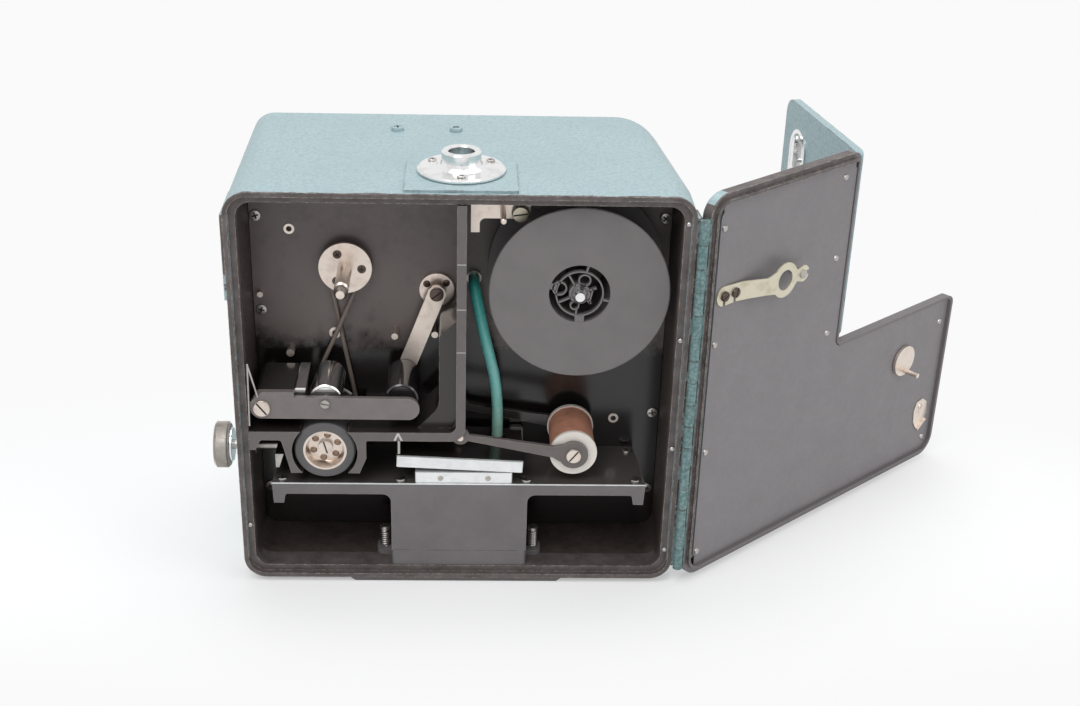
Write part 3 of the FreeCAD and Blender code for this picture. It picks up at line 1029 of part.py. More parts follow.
def make_pipe():
    """The vacuum pipe from the mechanism plate down to its spigot on the film track."""
    corners = [
        ("pipe_top_x", "chamber_depth + 1", "pipe_top_height"),
        ("pipe_top_x", "pipe_depth + 4", "pipe_top_height"),
        ("pipe_top_x + 5.5", "pipe_depth + 1", "pipe_top_height - 27"),
        ("pipe_foot_x - 1.6", "pipe_depth", "pipe_foot_height + 34"),
        ("pipe_foot_x", "pipe_depth", "pipe_foot_height + 16"),
        ("pipe_foot_x", "pipe_depth", "pipe_foot_height"),
    ]
    points = [Vector(size(x), size(depth(d)), size(height(h))) for x, d, h in corners]
    item = doc.addObject("Part::Feature", "vacuum_pipe")
    item.Shape = tube_route(points, size("pipe_radius")).cut(tube_route(points, size("pipe_bore")))
    keep("vacuum_pipe", item)
    nipple = sleeve("pipe_nipple", "Y", "pipe_top_x", depth("chamber_depth"), height("pipe_top_height"),
                    "pipe_radius + 1", "pipe_radius + running_gap", "plate_thickness")
    rise = "pipe_foot_height - platform_top - gate_height"
    spigot = turned("pipe_spigot", "Z", "pipe_foot_x", depth("pipe_depth"), height("platform_top + gate_height"), [
        ("0", "0"), ("pipe_radius + 0.4", "0"), ("pipe_radius + 0.4", rise), ("pipe_bore - running_gap", rise),
        ("pipe_bore - running_gap", f"{rise} + 4"), ("0", f"{rise} + 4")])
    keep("pipe_fittings", group("pipe_fittings", nipple, spigot))


def make_top():
    """The chrome socket on top, its screws and the two painted plugs."""
    base = height("casing_height + boss_height")
    socket = turned("socket_turning", "Z", "0", depth("socket_depth"), base, [
        ("socket_bore", "0"), ("socket_flange - 0.8", "0"), ("socket_flange", "0.6"),
        ("socket_flange", "socket_flange_wall - 1.2"), ("socket_flange - 1", "socket_flange_wall - 0.4"),
        ("socket_tube + 3", "socket_flange_wall"), ("socket_tube + 0.6", "socket_flange_wall + 1.4"),
        ("socket_tube", "socket_flange_wall + 3"), ("socket_tube", "socket_height - 0.8"),
        ("socket_tube - 0.8", "socket_height"), ("socket_bore + 0.8", "socket_height"),
        ("socket_bore", "socket_height - 0.8")])
    ports = [
        rod(f"socket_port_{index}", "Z", f"socket_screw_ring*cos({angle})",
            depth(f"socket_depth + socket_screw_ring*sin({angle})"), base, "1.2", "socket_flange_wall")
        for index, angle in enumerate((-90, 30, 150))
    ]
    keep("top_socket", carve("socket_form", socket, *ports))
    keep("socket_screws", group("socket_screws", *[
        flipped_screw(f"socket_screw_{index}", f"socket_screw_ring*cos({angle})",
                      depth(f"socket_depth + socket_screw_ring*sin({angle})"), f"{base} + socket_flange_wall",
                      "2.2", "0.9", "1.2", "socket_flange_wall + 4")
        for index, angle in enumerate((-90, 30, 150))
    ]))
    keep("top_plugs", group("top_plugs", *[
        flipped_screw(f"top_plug_{index}", x, depth("plug_depth"), height("casing_height"),
                      "plug_radius", "2.2", "1.6", "casing_wall")
        for index, x in enumerate(("plug_left", "plug_right"))
    ]))


def make_knife():
    """The film knife: a sprung plunger with a knurled knob in the left wall."""
    y, z = depth("knife_depth"), height("knife_height")
    wall = "-casing_width/2"
    keep("knife_bush", turned("knife_bush", "X", f"{wall} - 3", y, z, [
        ("knife_shaft + running_gap", "0"), ("knife_bush + 2", "0"), ("knife_bush + 2", "3"), ("knife_bush", "3"),
        ("knife_bush", "casing_wall + 3"), ("knife_shaft + running_gap", "casing_wall + 3")]))
    knob_start = f"{wall} - knob_gap - knob_wall"
    knob = turned("knife_knob_form", "X", knob_start, y, z, [
        ("knife_shaft", "knob_wall + 1.6"), ("knife_shaft", "1"), ("0", "1"), ("0", "0"), ("knob_radius - 1", "0"),
        ("knob_radius", "1"), ("knob_radius", "knob_wall - 1"), ("knob_radius - 1", "knob_wall"),
        ("knob_collar", "knob_wall"), ("knob_collar", "knob_wall + 1.6")])
    keep("knife_knob", knob)
    tip = "-knife_reach"
    shaft = rod("knife_shaft", "X", f"{knob_start} + 1", y, z, "knife_shaft", f"{tip} - ({knob_start}) - 1")
    keep("knife_shaft", shaft)
    blade = plate("blade_bar", "YZ", tip, "4.5", [
        (depth("knife_depth - 18"), f"{z} - 4"), (depth("knife_depth + 18"), f"{z} - 4"),
        (depth("knife_depth + 18"), f"{z} + 4"), (depth("knife_depth - 18"), f"{z} + 4"),
    ])
    edge = plate("knife_bevel", "XZ", depth("knife_depth - 19"), "38", [
        (f"{tip} + 1.5", f"{z} - 5"), (f"{tip} + 6", f"{z} - 5"), (f"{tip} + 6", f"{z} + 5"), (f"{tip} + 4.5", f"{z} + 4.5"),
    ])
    keep("knife_blade", carve("blade_form", blade, edge))


def make_drive():
    """The motor on the back of the mechanism plate and the gears to the metering shaft."""
    y = depth("gear_front")
    keep("metering_gear", gear("metering_gear", "wheel_gear_teeth", WHEEL[0], y, WHEEL[1], "rear_shaft", 0))
    keep("motor_pinion", gear("motor_pinion", "motor_gear_teeth", MOTOR_X, y, WHEEL[1], "motor_shaft",
                              180 + 180 / size("motor_gear_teeth")))
    keep("motor_shaft", rod("motor_shaft", "Y", MOTOR_X, depth("gear_front - 2"), WHEEL[1], "motor_shaft",
                            "motor_front - gear_front + 12"))
    keep("drive_motor", turned("drive_motor", "Y", MOTOR_X, depth("motor_front"), WHEEL[1], [
        ("motor_shaft + running_gap", "0"), ("6", "0"), ("6", "2"), ("motor_radius - 1", "2"), ("motor_radius", "3"),
        ("motor_radius", "motor_length - 1"), ("motor_radius - 1", "motor_length"), ("0", "motor_length"),
        ("0", "12"), ("motor_shaft + running_gap", "12")]))
    posts = [rod(f"motor_post_{index}", "Y", f"{MOTOR_X} + {dx}", depth("chamber_depth + plate_thickness"),
                 f"{WHEEL[1]} + {dz}", "3", "motor_front - chamber_depth - plate_thickness - 1")
             for index, (dx, dz) in enumerate((("24", "24"), ("24", "-24"), ("-10", "32")))]
    mount = plate("motor_mount_plate", "XZ", depth("motor_front - 1"), "3", [
        (f"{MOTOR_X} - 18", f"{WHEEL[1]} - 18"), (f"{MOTOR_X} + 20", f"{WHEEL[1]} - 30"),
        (f"{MOTOR_X} + 30", f"{WHEEL[1]} - 20"), (f"{MOTOR_X} + 30", f"{WHEEL[1]} + 30", "4"),
        (f"{MOTOR_X} - 16", f"{WHEEL[1]} + 38", "4"),
    ], [(MOTOR_X, WHEEL[1], "motor_radius")])
    keep("motor_mount", join("motor_mount", mount, *posts))


def gear(name, teeth, x, y, z, bore, start):
    """A spur gear with straight-flanked teeth, bored for its shaft."""
    count = int(round(size(teeth)))
    module = size("gear_module")
    pitch = module * count / 2
    slack = 0.13 * module
    corners = []
    for index in range(count):
        middle = math.radians(start) + 2 * math.pi * index / count
        for radius, half in (
                (pitch - 1.25 * module, math.pi * module / 4 + 0.5 * module - slack),
                (pitch, math.pi * module / 4 - slack),
                (pitch + 0.92 * module, math.pi * module / 4 - 0.42 * module - slack)):
            corners.append((middle - half / radius, radius))
        for radius, half in (
                (pitch + 0.92 * module, math.pi * module / 4 - 0.42 * module - slack),
                (pitch, math.pi * module / 4 - slack),
                (pitch - 1.25 * module, math.pi * module / 4 + 0.5 * module - slack)):
            corners.append((middle + half / radius, radius))
    points = [Vector(radius * math.cos(angle), 0, radius * math.sin(angle)) for angle, radius in corners]
    face = Part.Face(Part.makePolygon(points + points[:1]))
    solid = face.extrude(Vector(0, size("gear_face"), 0))
    hole = Part.makeCylinder(size(bore), size("gear_face"), Vector(), Vector(0, 1, 0))
    item = doc.addObject("Part::Feature", name)
    item.Shape = solid.cut(hole)
    return move(item, x, y, z)


def make_main_hinge():
    """The casing's side of the piano hinge: the leaf with its knuckles, and the pin."""
    low, high = height("hinge_low"), height("hinge_high")
    tall = "hinge_high - hinge_low"
    pitch = f"({tall})/knuckle_count"
    leaf_x = "casing_width/2 + hinge_boss"
    slant = "(hinge_boss + 0.5)*(leaf_length - 3)/(straight_depth - 3)"
    strip = plate("casing_leaf_strip", "XY", low, tall, [
        (leaf_x, depth("1.5")), (f"{leaf_x} + leaf_wall", depth("1.5")), (f"{leaf_x} + leaf_wall", depth("3")),
        (f"{leaf_x} - ({slant}) + leaf_wall", depth("leaf_length")),
        (f"{leaf_x} - ({slant})", depth("leaf_length")), (leaf_x, depth("3")),
    ])
    parts = [strip]
    for index in range(0, int(size("knuckle_count")), 2):
        z = f"{low} + {index}*{pitch} + knuckle_gap/2"
        parts.append(rod(f"casing_knuckle_{index}", "Z", HINGE_X, HINGE_Y, z, "knuckle_radius",
                         f"{pitch} - knuckle_gap"))
        parts.append(block(f"casing_tab_{index}", leaf_x, depth("0"), z, "leaf_wall", "1.6", f"{pitch} - knuckle_gap"))
    bore = rod("casing_knuckle_bore", "Z", HINGE_X, HINGE_Y, f"{low} - 1", "hinge_pin", f"{tall} + 2")
    keep("casing_hinge_leaf", carve("casing_hinge_leaf_form", join("casing_hinge_solid", *parts), bore))
    keep("hinge_pin", rod("hinge_pin_form", "Z", HINGE_X, HINGE_Y, low, "hinge_pin", tall))


def door_corners(inset, corner, tip, inner, notch=None):
    """The main door's outline moved in by inset, or by notch along the notch, with its corner radii."""
    notch = notch or inset
    high = height(f"casing_height - ({inset})")
    ledge = height(f"notch_height - ({notch})")
    return [
        (f"-casing_width/2 + {inset}", height(inset), corner), (f"casing_width/2 - ({inset})", height(inset), corner),
        (f"casing_width/2 - ({inset})", high, corner), (f"notch_x + {notch}", high, tip),
        (f"notch_x + {notch}", ledge, inner), (f"-casing_width/2 + {inset}", ledge, tip),
    ]


# Rivets in the door liner: place across with the door shut, and height.
DOOR_RIVETS = (("casing_width/2 - 11.4", "casing_height - 18.4"), ("casing_width/2 - 11.4", "138"),
               ("casing_width/2 - 11.4", "75"), ("casing_width/2 - 11.4", "13"),
               ("notch_x + 11.2", "casing_height - 12.4"), ("notch_x + 11.2", "161.6"),
               ("notch_x + 11.2", "notch_height + 10"), ("11 - casing_width/2", "notch_height - 15"),
               ("11 - casing_width/2", "13"))
# Screws of the keeper: place across with the door shut.
KEEPER_SCREWS = ("casing_width/2 - 14.8", "casing_width/2 - 23")


def open_door(name, *items):
    """Swing pieces that are modelled shut to the open main door, as one piece."""
    whole = group(name + "_open", *items)
    swing(whole, "door_open", HINGE_X, HINGE_Y)
    return keep(name, whole)


def make_main_door():
    """The L-shaped main door: pan, lip, liner, rivets, hinge leaf, keeper and coupling."""
    outer = "door_gap + door_depth"
    band = "(door_lip_inset + door_lip)"
    form = new_body("door_form")
    face = outline(new_sketch(form, "XZ", depth(f"-({outer})")), door_corners(
        "door_round", "door_corner - door_round", "door_tip - door_round", "door_inner + door_round"))
    edge = outline(new_sketch(form, "XZ", depth(f"-({outer}) + door_round")),
                   door_corners("0", "door_corner", "door_tip", "door_inner"))
    bevel = form.newObject("PartDesign::AdditiveLoft", "door_bevel")
    bevel.Profile = face
    bevel.Sections = [(edge, [""])]
    bevel.Ruled = True
    rest = outline(new_sketch(form, "XZ", depth(f"-({outer}) + door_round")),
                   door_corners("0", "door_corner", "door_tip", "door_inner"))
    pad(form, rest, "door_depth - door_round")
    lip = outline(new_sketch(form, "XZ", depth("-door_gap - 1")), door_corners(
        "door_lip_inset", "door_corner - door_lip_inset", "door_tip - door_lip_inset", "door_inner + notch_wall + 0.5",
        "notch_wall + 0.5"))
    pad(form, lip, "door_gap + 1 + door_lip_rise")
    hollow = outline(new_sketch(form, "XZ", depth(f"-({outer}) + door_skin")), door_corners(
        band, f"door_corner - {band}", f"door_tip - {band}", "door_inner + notch_wall", "notch_wall"))
    pocket(form, hollow, f"{outer} - door_skin + door_lip_rise + 1")
    liner_back = "liner_drop + liner_wall"
    bosses = [
        rod(f"door_boss_{index}", "Y", x, depth(f"-({outer}) + door_skin"), height(h), "3.5",
            f"{outer} - door_skin - ({liner_back})")
        for index, (x, h) in enumerate(DOOR_RIVETS + tuple((x, "spool_height") for x in KEEPER_SCREWS))
    ]
    bosses.append(rod("coupling_boss", "Y", WHEEL[0], depth(f"-({outer}) + door_skin"), WHEEL[1], "6",
                      f"{outer} - door_skin - ({liner_back})"))
    rebate = block("leaf_rebate", "casing_width/2 - leaf_wall", depth("-door_gap - leaf_height"), height("hinge_low"),
                   "leaf_wall + 1", "leaf_height", "hinge_high - hinge_low")
    bearing = rod("coupling_bearing", "Y", WHEEL[0], depth(f"-({outer}) - 1"), WHEEL[1],
                  "coupling_shaft + running_gap", "door_depth + 2")
    open_door("main_door", carve("door_shell", join("door_solid", form, *bosses), rebate, bearing))

    liner = plate("door_liner_form", "XZ", depth(f"-({liner_back})"), "liner_wall",
                  door_corners("liner_inset", "liner_corner", "1", "door_inner + notch_wall + 0.3", "notch_wall + 0.3"),
                  [(x, height(h), "1") for x, h in DOOR_RIVETS] + [(WHEEL[0], WHEEL[1], "coupling_shaft + 0.8")]
                  + [(x, SUPPLY[1], "1.1") for x in KEEPER_SCREWS])
    open_door("door_liner", liner)
    open_door("door_rivets", *[
        screw(f"door_rivet_{index}", "Y", x, depth("-liner_drop"), height(h), "1.8", "-0.6", "1", "-liner_wall")
        for index, (x, h) in enumerate(DOOR_RIVETS)
    ])

    low, tall = height("hinge_low"), "hinge_high - hinge_low"
    pitch = f"({tall})/knuckle_count"
    strip = block("door_leaf_strip", "casing_width/2 - leaf_wall", depth("-door_gap - leaf_height"), low,
                  "leaf_wall", "leaf_height", tall)
    parts = [strip]
    for index in range(1, int(size("knuckle_count")), 2):
        z = f"{low} + {index}*{pitch} + knuckle_gap/2"
        parts.append(rod(f"door_knuckle_{index}", "Z", HINGE_X, HINGE_Y, z, "knuckle_radius",
                         f"{pitch} - knuckle_gap"))
        parts.append(block(f"door_tab_{index}", "casing_width/2", depth("-hinge_forward - 1"), z,
                           "hinge_out", "2", f"{pitch} - knuckle_gap"))
    bore = rod("door_knuckle_bore", "Z", HINGE_X, HINGE_Y, f"{low} - 1", "hinge_pin + running_gap", f"{tall} + 2")
    open_door("door_hinge_leaf", carve("door_leaf_form", join("door_leaf_solid", *parts), bore))

    strap = plate("keeper_strap", "XY", height("spool_height - keeper_half"), "2*keeper_half", [
        ("casing_width/2 - 10", depth("-liner_drop")), ("casing_width/2 - 26", depth("-liner_drop")),
        ("spool_offset + 12.7", depth("keeper_rise - liner_drop")),
        ("spool_offset - 17.3", depth("keeper_rise - liner_drop")),
        ("spool_offset - 17.3", depth("keeper_rise - liner_drop + keeper_wall")),
        ("spool_offset + 12.3", depth("keeper_rise - liner_drop + keeper_wall")),
        ("casing_width/2 - 26.4", depth("-liner_drop + keeper_wall")),
        ("casing_width/2 - 10", depth("-liner_drop + keeper_wall")),
    ])
    eye = rod("keeper_eye", "Y", SUPPLY[0], depth("keeper_rise - liner_drop"), SUPPLY[1], "keeper_ring", "keeper_wall")
    hole = rod("keeper_hole", "Y", SUPPLY[0], depth("keeper_rise - liner_drop - 1"), SUPPLY[1], "keeper_bore", "4")
    ports = [rod(f"keeper_port_{index}", "Y", x, depth("-liner_drop - 1"), SUPPLY[1], "1.1", "4")
             for index, x in enumerate(KEEPER_SCREWS)]
    ports.append(rod("keeper_post_port", "Y", "spool_offset - 14.1", depth("keeper_rise - liner_drop - 1"), SUPPLY[1], "1.4", "4"))
    open_door("reel_keeper", carve("keeper_form", join("keeper_solid", strap, eye), hole, *ports))
    fixings = [
        screw(f"keeper_screw_{index}", "Y", x, depth("-liner_drop + keeper_wall"), SUPPLY[1], "2.4", "-1", "1.1",
              "-keeper_wall - liner_wall")
        for index, x in enumerate(KEEPER_SCREWS)
    ]
    fixings.append(turned("keeper_post", "Y", "spool_offset - 14.1", depth("-liner_drop"), SUPPLY[1], [
        ("0", "0"), ("2.2", "0"), ("2.2", "keeper_rise"), ("1.4", "keeper_rise"), ("1.4", "keeper_rise + keeper_wall"),
        ("2.4", "keeper_rise + keeper_wall"), ("2.4", "keeper_rise + keeper_wall + 1"),
        ("0", "keeper_rise + keeper_wall + 1")]))
    open_door("keeper_fixings", *fixings)

    start = f"-({outer}) - 1 - coupling_knob_wall"
    disc = f"-({start}) - 0.6"
    turner = turned("coupling_turner", "Y", WHEEL[0], depth(start), WHEEL[1], [
        ("0", "0"), ("coupling_knob - 1", "0"), ("coupling_knob", "1"), ("coupling_knob", "coupling_knob_wall - 1"),
        ("coupling_knob - 1", "coupling_knob_wall"), ("coupling_shaft", "coupling_knob_wall"),
        ("coupling_shaft", disc), ("coupling_disc", disc), ("coupling_disc", f"{disc} + 1.8"), ("0", f"{disc} + 1.8")])
    pin = rod("coupling_pin", "Y", f"{WHEEL[0]} + hub_hole_ring*cos(260)", depth("0"),
              f"{WHEEL[1]} + hub_hole_ring*sin(260)", "coupling_pin", "coupling_pin_reach")
    open_door("film_advance", join("film_advance_form", turner, pin))


SMALL_HINGE_X = "notch_x - small_hinge_radius - 0.5"
SMALL_HINGE_Y = depth("-door_gap - small_door_depth - 0.9")


def open_small_door(name, *items):
    """Swing pieces that are modelled shut to the open small door."""
    whole = group(name + "_ajar", *items)
    swing(whole, "small_door_open", SMALL_HINGE_X, SMALL_HINGE_Y)
    return open_door(name, whole)


def small_corners(inset):
    """The small door's outline moved in by inset."""
    left, right = f"-casing_width/2 + small_inset + {inset}", f"notch_x - 2*small_hinge_radius - 1 - ({inset})"
    low, high = height(f"notch_height + door_seam + {inset}"), height(f"casing_height - small_inset - ({inset})")
    return [(left, low, f"4 - ({inset})"), (right, low, f"door_inner + 1 - ({inset})"), (right, high, f"2.6 - ({inset})"),
            (left, high, f"door_corner - small_inset - ({inset})")]


def make_small_door():
    """The small take-up door: pan, hinge knuckles, pull cup and turn bar."""
    outer = "door_gap + small_door_depth"
    form = new_body("small_form")
    pad(form, outline(new_sketch(form, "XZ", depth(f"-({outer})")), small_corners("0")), "small_door_depth")
    pocket(form, outline(new_sketch(form, "XZ", depth(f"-({outer}) + door_skin")), small_corners("1.4")),
           "small_door_depth - door_skin")
    cup_hole = ("pull_x", height("pull_height"))
    port = plate("pull_port", "XZ", depth(f"-({outer}) - 1"), "small_door_depth + 2", box_corners(
        "pull_x - pull_half_width", "pull_x + pull_half_width", height("pull_height - pull_half_height"),
        height("pull_height + pull_half_height"), "pull_half_width - 0.05"))
    low, tall = height("notch_height + door_inner + 1.5"), "casing_height - notch_height - door_inner - 6.5"
    pitch = f"({tall})/small_knuckle_count"
    outer_parts, inner_parts = [], []
    for index in range(int(size("small_knuckle_count"))):
        z = f"{low} + {index}*{pitch} + knuckle_gap/2"
        own = outer_parts if index % 2 else inner_parts
        own.append(rod(f"small_knuckle_{index}", "Z", SMALL_HINGE_X, SMALL_HINGE_Y, z, "small_hinge_radius",
                       f"{pitch} - knuckle_gap"))
        if index % 2:
            own.append(block(f"small_tab_{index}", f"{SMALL_HINGE_X} - small_hinge_radius - 0.6", depth(f"-({outer})"),
                             z, "small_hinge_radius + 0.4", "0.8", f"{pitch} - knuckle_gap"))
        else:
            own.append(block(f"small_tab_{index}", SMALL_HINGE_X, depth(f"-({outer}) - 0.3"), z,
                             "small_hinge_radius + 0.5", "0.8", f"{pitch} - knuckle_gap"))
    reach = f"({tall}) + 2"
    free = rod("small_bore", "Z", SMALL_HINGE_X, SMALL_HINGE_Y, f"{low} - 1", "small_hinge_pin + running_gap", reach)
    tight = rod("small_bore_tight", "Z", SMALL_HINGE_X, SMALL_HINGE_Y, f"{low} - 1", "small_hinge_pin", reach)
    open_small_door("small_door", carve("small_shell", join("small_solid", form, *outer_parts), port, free))
    open_door("small_door_knuckles", carve("small_knuckle_form", group("small_knuckle_set", *inner_parts), tight))
    open_door("small_door_pin", rod("small_pin_form", "Z", SMALL_HINGE_X, SMALL_HINGE_Y, low, "small_hinge_pin", tall))

    cup = new_body("pull_cup_form")
    bezel = depth(f"-({outer}) - 0.8")
    radius = "pull_half_width + 1.4"
    pad(cup, outline(new_sketch(cup, "XZ", bezel), box_corners(
        "pull_x - pull_half_width - 1.4", "pull_x + pull_half_width + 1.4",
        height("pull_height - pull_half_height - 1.4"), height("pull_height + pull_half_height + 1.4"),
        f"{radius} - 0.05")), "0.8")
    pad(cup, outline(new_sketch(cup, "XZ", depth(f"-({outer})")), box_corners(
        "pull_x - pull_half_width", "pull_x + pull_half_width", height("pull_height - pull_half_height"),
        height("pull_height + pull_half_height"), "pull_half_width - 0.05")), "pull_depth")
    pocket(cup, outline(new_sketch(cup, "XZ", bezel), box_corners(
        "pull_x - pull_half_width + 1", "pull_x + pull_half_width - 1", height("pull_height - pull_half_height + 1"),
        height("pull_height + pull_half_height - 1"), "pull_half_width - 1.05")), "pull_depth")
    stem = rod("pull_bore", "Y", cup_hole[0], depth(f"-({outer}) - 1"), cup_hole[1], "1.6 + running_gap", "9")
    open_small_door("pull_cup", carve("pull_cup_bored", cup, stem))
    bar = plate("turn_bar_form", "XZ", depth(f"-({outer}) - turn_bar_rise - 2.4"), "2.4", box_corners(
        "pull_x - 2.2", "pull_x + 2.2", height("pull_height - pull_half_height + 2"),
        height("pull_height + pull_half_height - 2"), "2.1"))
    stalk = rod("turn_bar_stem", "Y", cup_hole[0], depth(f"-({outer}) - turn_bar_rise - 1"), cup_hole[1], "1.6",
                "small_door_depth + turn_bar_rise + 1.2")
    tongue = plate("turn_bar_tongue", "XZ", depth("-door_gap - 0.8"), "1", box_corners(
        "pull_x - 3", "pull_x + 3", height("pull_height - 3"), height("pull_height + 14"), "2.9"))
    open_small_door("turn_bar", join("turn_bar_solid", bar, stalk, tongue))


def gather(name, *labels):
    """Put fixed-together pieces of one kind into one named piece."""
    members = [item for item in NODES if item.Label in labels]
    for item in members:
        NODES.remove(item)
    keep(name, group(name + "_set", *members))


def gather_pieces():
    """Gather the small pieces that stay together."""
    gather("shaft_posts", "plate_pins", "shaft_bushes", "dancer_pivots", "guide_pivot")
    gather("chamber_screws", "plate_screws", "platform_screws")
    gather("gate_pins", "pressure_pin", "gate_stop")
    gather("sprung_studs", "focus_studs", "stud_springs")
    gather("lens_tube", "lens_barrel", "shutter_case")
    gather("takeup_drive", "takeup_spindle", "takeup_pulley")
    gather("metering_drive", "metering_shaft", "metering_pulley", "metering_gear")
    gather("film_guides", "film_guide", "guide_axle")
    gather("tension_pins", "tension_shaft", "tension_axle")
    gather("feeler_mount", "feeler_bracket", "bracket_pins")
    gather("knife_plunger", "knife_shaft", "knife_blade")
    gather("motor_drive", "motor_shaft", "motor_pinion")
    gather("casing_hinge", "casing_hinge_leaf", "hinge_pin")
    gather("door_fixings", "door_rivets", "keeper_fixings")
    gather("small_door_hinge", "small_door_knuckles", "small_door_pin")


def build_parts():
    """Build every sub-assembly."""
    make_casing()
    make_mechanism_plate()
    make_divider()
    make_platform()
    make_lens_block()
    make_gate()
    make_takeup()
    make_metering()
    make_belt()
    make_guide_arm()
    make_tension_arm()
    make_dancer()
    make_supply()
    make_feeler()
    make_pipe()
    make_top()
    make_knife()
    make_drive()
    make_main_hinge()
    make_main_door()
    make_small_door()


def check_and_write():
    """Check every object and every piece, then write one file a piece."""
    doc.recompute()
    for item in doc.Objects:
        if "Invalid" in item.State or "Error" in item.State:
            raise RuntimeError("failed object: " + item.Name)
        for curve in getattr(item, "Geometry", []):
            if isinstance(curve, Part.ArcOfCircle) and curve.LastParameter - curve.FirstParameter > math.pi:
                raise RuntimeError("an arc runs the wrong way round in " + item.Name)
    os.makedirs("parts", exist_ok=True)
    facets = 0
    for item in NODES:
        shape = item.Shape
        if shape.isNull() or not shape.isValid() or not shape.Solids:
            raise RuntimeError("bad shape: " + item.Label)
        shape.exportStep(os.path.join("parts", item.Label + ".step"))
        facets += len(shape.tessellate(0.2)[1])
        box = shape.BoundBox
        print(f"{item.Label:18s} solids {len(shape.Solids):2d} volume {shape.Volume:9.0f} "
              f"x {box.XMin:7.1f} {box.XMax:7.1f} y {box.YMin:7.1f} {box.YMax:7.1f} z {box.ZMin:7.1f} {box.ZMax:7.1f}")
    print(len(NODES), "pieces,", facets, "triangles at 0.2 mm")


build_parts()
gather_pieces()
check_and_write()
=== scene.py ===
"""Looks for the microfilm camera: finishes, small parts, studio and camera."""

import logging
import math
from dataclasses import dataclass
from enum import Enum
from functools import reduce
from typing import ClassVar

import bpy
from mathutils import Matrix, Vector

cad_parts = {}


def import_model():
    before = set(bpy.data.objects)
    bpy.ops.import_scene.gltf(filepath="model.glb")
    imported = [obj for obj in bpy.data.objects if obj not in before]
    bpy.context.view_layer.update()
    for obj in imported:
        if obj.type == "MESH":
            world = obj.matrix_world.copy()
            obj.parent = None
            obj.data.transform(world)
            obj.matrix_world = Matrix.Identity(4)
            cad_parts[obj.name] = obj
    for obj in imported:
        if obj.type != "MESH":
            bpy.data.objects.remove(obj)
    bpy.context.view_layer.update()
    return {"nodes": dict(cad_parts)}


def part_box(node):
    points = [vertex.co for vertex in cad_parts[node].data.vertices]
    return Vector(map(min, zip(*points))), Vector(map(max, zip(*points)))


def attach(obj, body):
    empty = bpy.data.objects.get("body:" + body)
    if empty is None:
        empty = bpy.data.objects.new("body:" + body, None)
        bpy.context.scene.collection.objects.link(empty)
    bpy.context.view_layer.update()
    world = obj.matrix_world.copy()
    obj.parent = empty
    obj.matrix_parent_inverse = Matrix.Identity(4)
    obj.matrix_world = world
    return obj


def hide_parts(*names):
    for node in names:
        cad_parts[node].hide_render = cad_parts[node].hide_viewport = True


log = logging.getLogger("microfilm_camera")

Colour = tuple[float, float, float]
Place = tuple[float, float, float]
Spot = tuple[float, float]
Span = tuple[float, float]
Row = tuple[float, ...]
Piece = bpy.types.Object
Socket = bpy.types.NodeSocket

MM = 0.001
HINGE: Place = (119.2, -69.5, 0.0)
DOOR_TURN = 220.6


def paint(red: int, green: int, blue: int) -> Colour:
    """Turn a display colour of 0 to 255 into scene light.

    Args:
        red: Red as a screen shows it.
        green: Green as a screen shows it.
        blue: Blue as a screen shows it.

    Returns:
        The colour in linear light.
    """
    def channel(value: int) -> float:
        """Linear light of one channel."""
        share = value / 255
        return share / 12.92 if share <= 0.04045 else ((share + 0.055) / 1.055) ** 2.4
    return channel(red), channel(green), channel(blue)


class Nodes:
    """A node tree, with short calls for what is used here."""

    def __init__(self, tree: bpy.types.NodeTree) -> None:
        """Take up a tree."""
        self.tree = tree

    def link(self, value: object, socket: Socket) -> None:
        """Feed a socket from another socket, or set it to a plain value.

        Args:
            value: The other socket, number, colour or vector.
            socket: The socket to feed.
        """
        if isinstance(value, Socket):
            self.tree.links.new(value, socket)
        elif isinstance(value, tuple) and len(value) == 3 and socket.type == "RGBA":
            socket.default_value = (*value, 1.0)
        else:
            socket.default_value = value

    def node(self, kind: str, inputs: dict[str | int, object] | None = None,
             **settings: object) -> bpy.types.Node:
        """Add a node.

        Args:
            kind: The node's type.
            inputs: What its sockets get, by name or number.
            settings: Its other properties, set first.

        Returns:
            The node.
        """
        node = self.tree.nodes.new(kind)
        for name, value in settings.items():
            setattr(node, name, value)
        for name, value in (inputs or {}).items():
            self.link(value, node.inputs[name])
        return node

    def math(self, kind: str, first: object, second: object = 0.0) -> Socket:
        """One arithmetic step on sockets or numbers."""
        return self.node("ShaderNodeMath", {0: first, 1: second}, operation=kind).outputs["Value"]

    def all_of(self, *shares: Socket) -> Socket:
        """Shares multiplied together: one only where all of them are."""
        return reduce(lambda first, second: self.math("MULTIPLY", first, second), shares)

    def any_of(self, *shares: Socket) -> Socket:
        """The largest of several shares."""
        return reduce(lambda first, second: self.math("MAXIMUM", first, second), shares)

    def seen_plainly(self) -> Socket:
        """One for rays from the camera, a glossy surface or glass."""
        rays = self.node("ShaderNodeLightPath").outputs
        return self.any_of(*(rays[f"Is {name} Ray"] for name in ("Camera", "Glossy", "Transmission")))


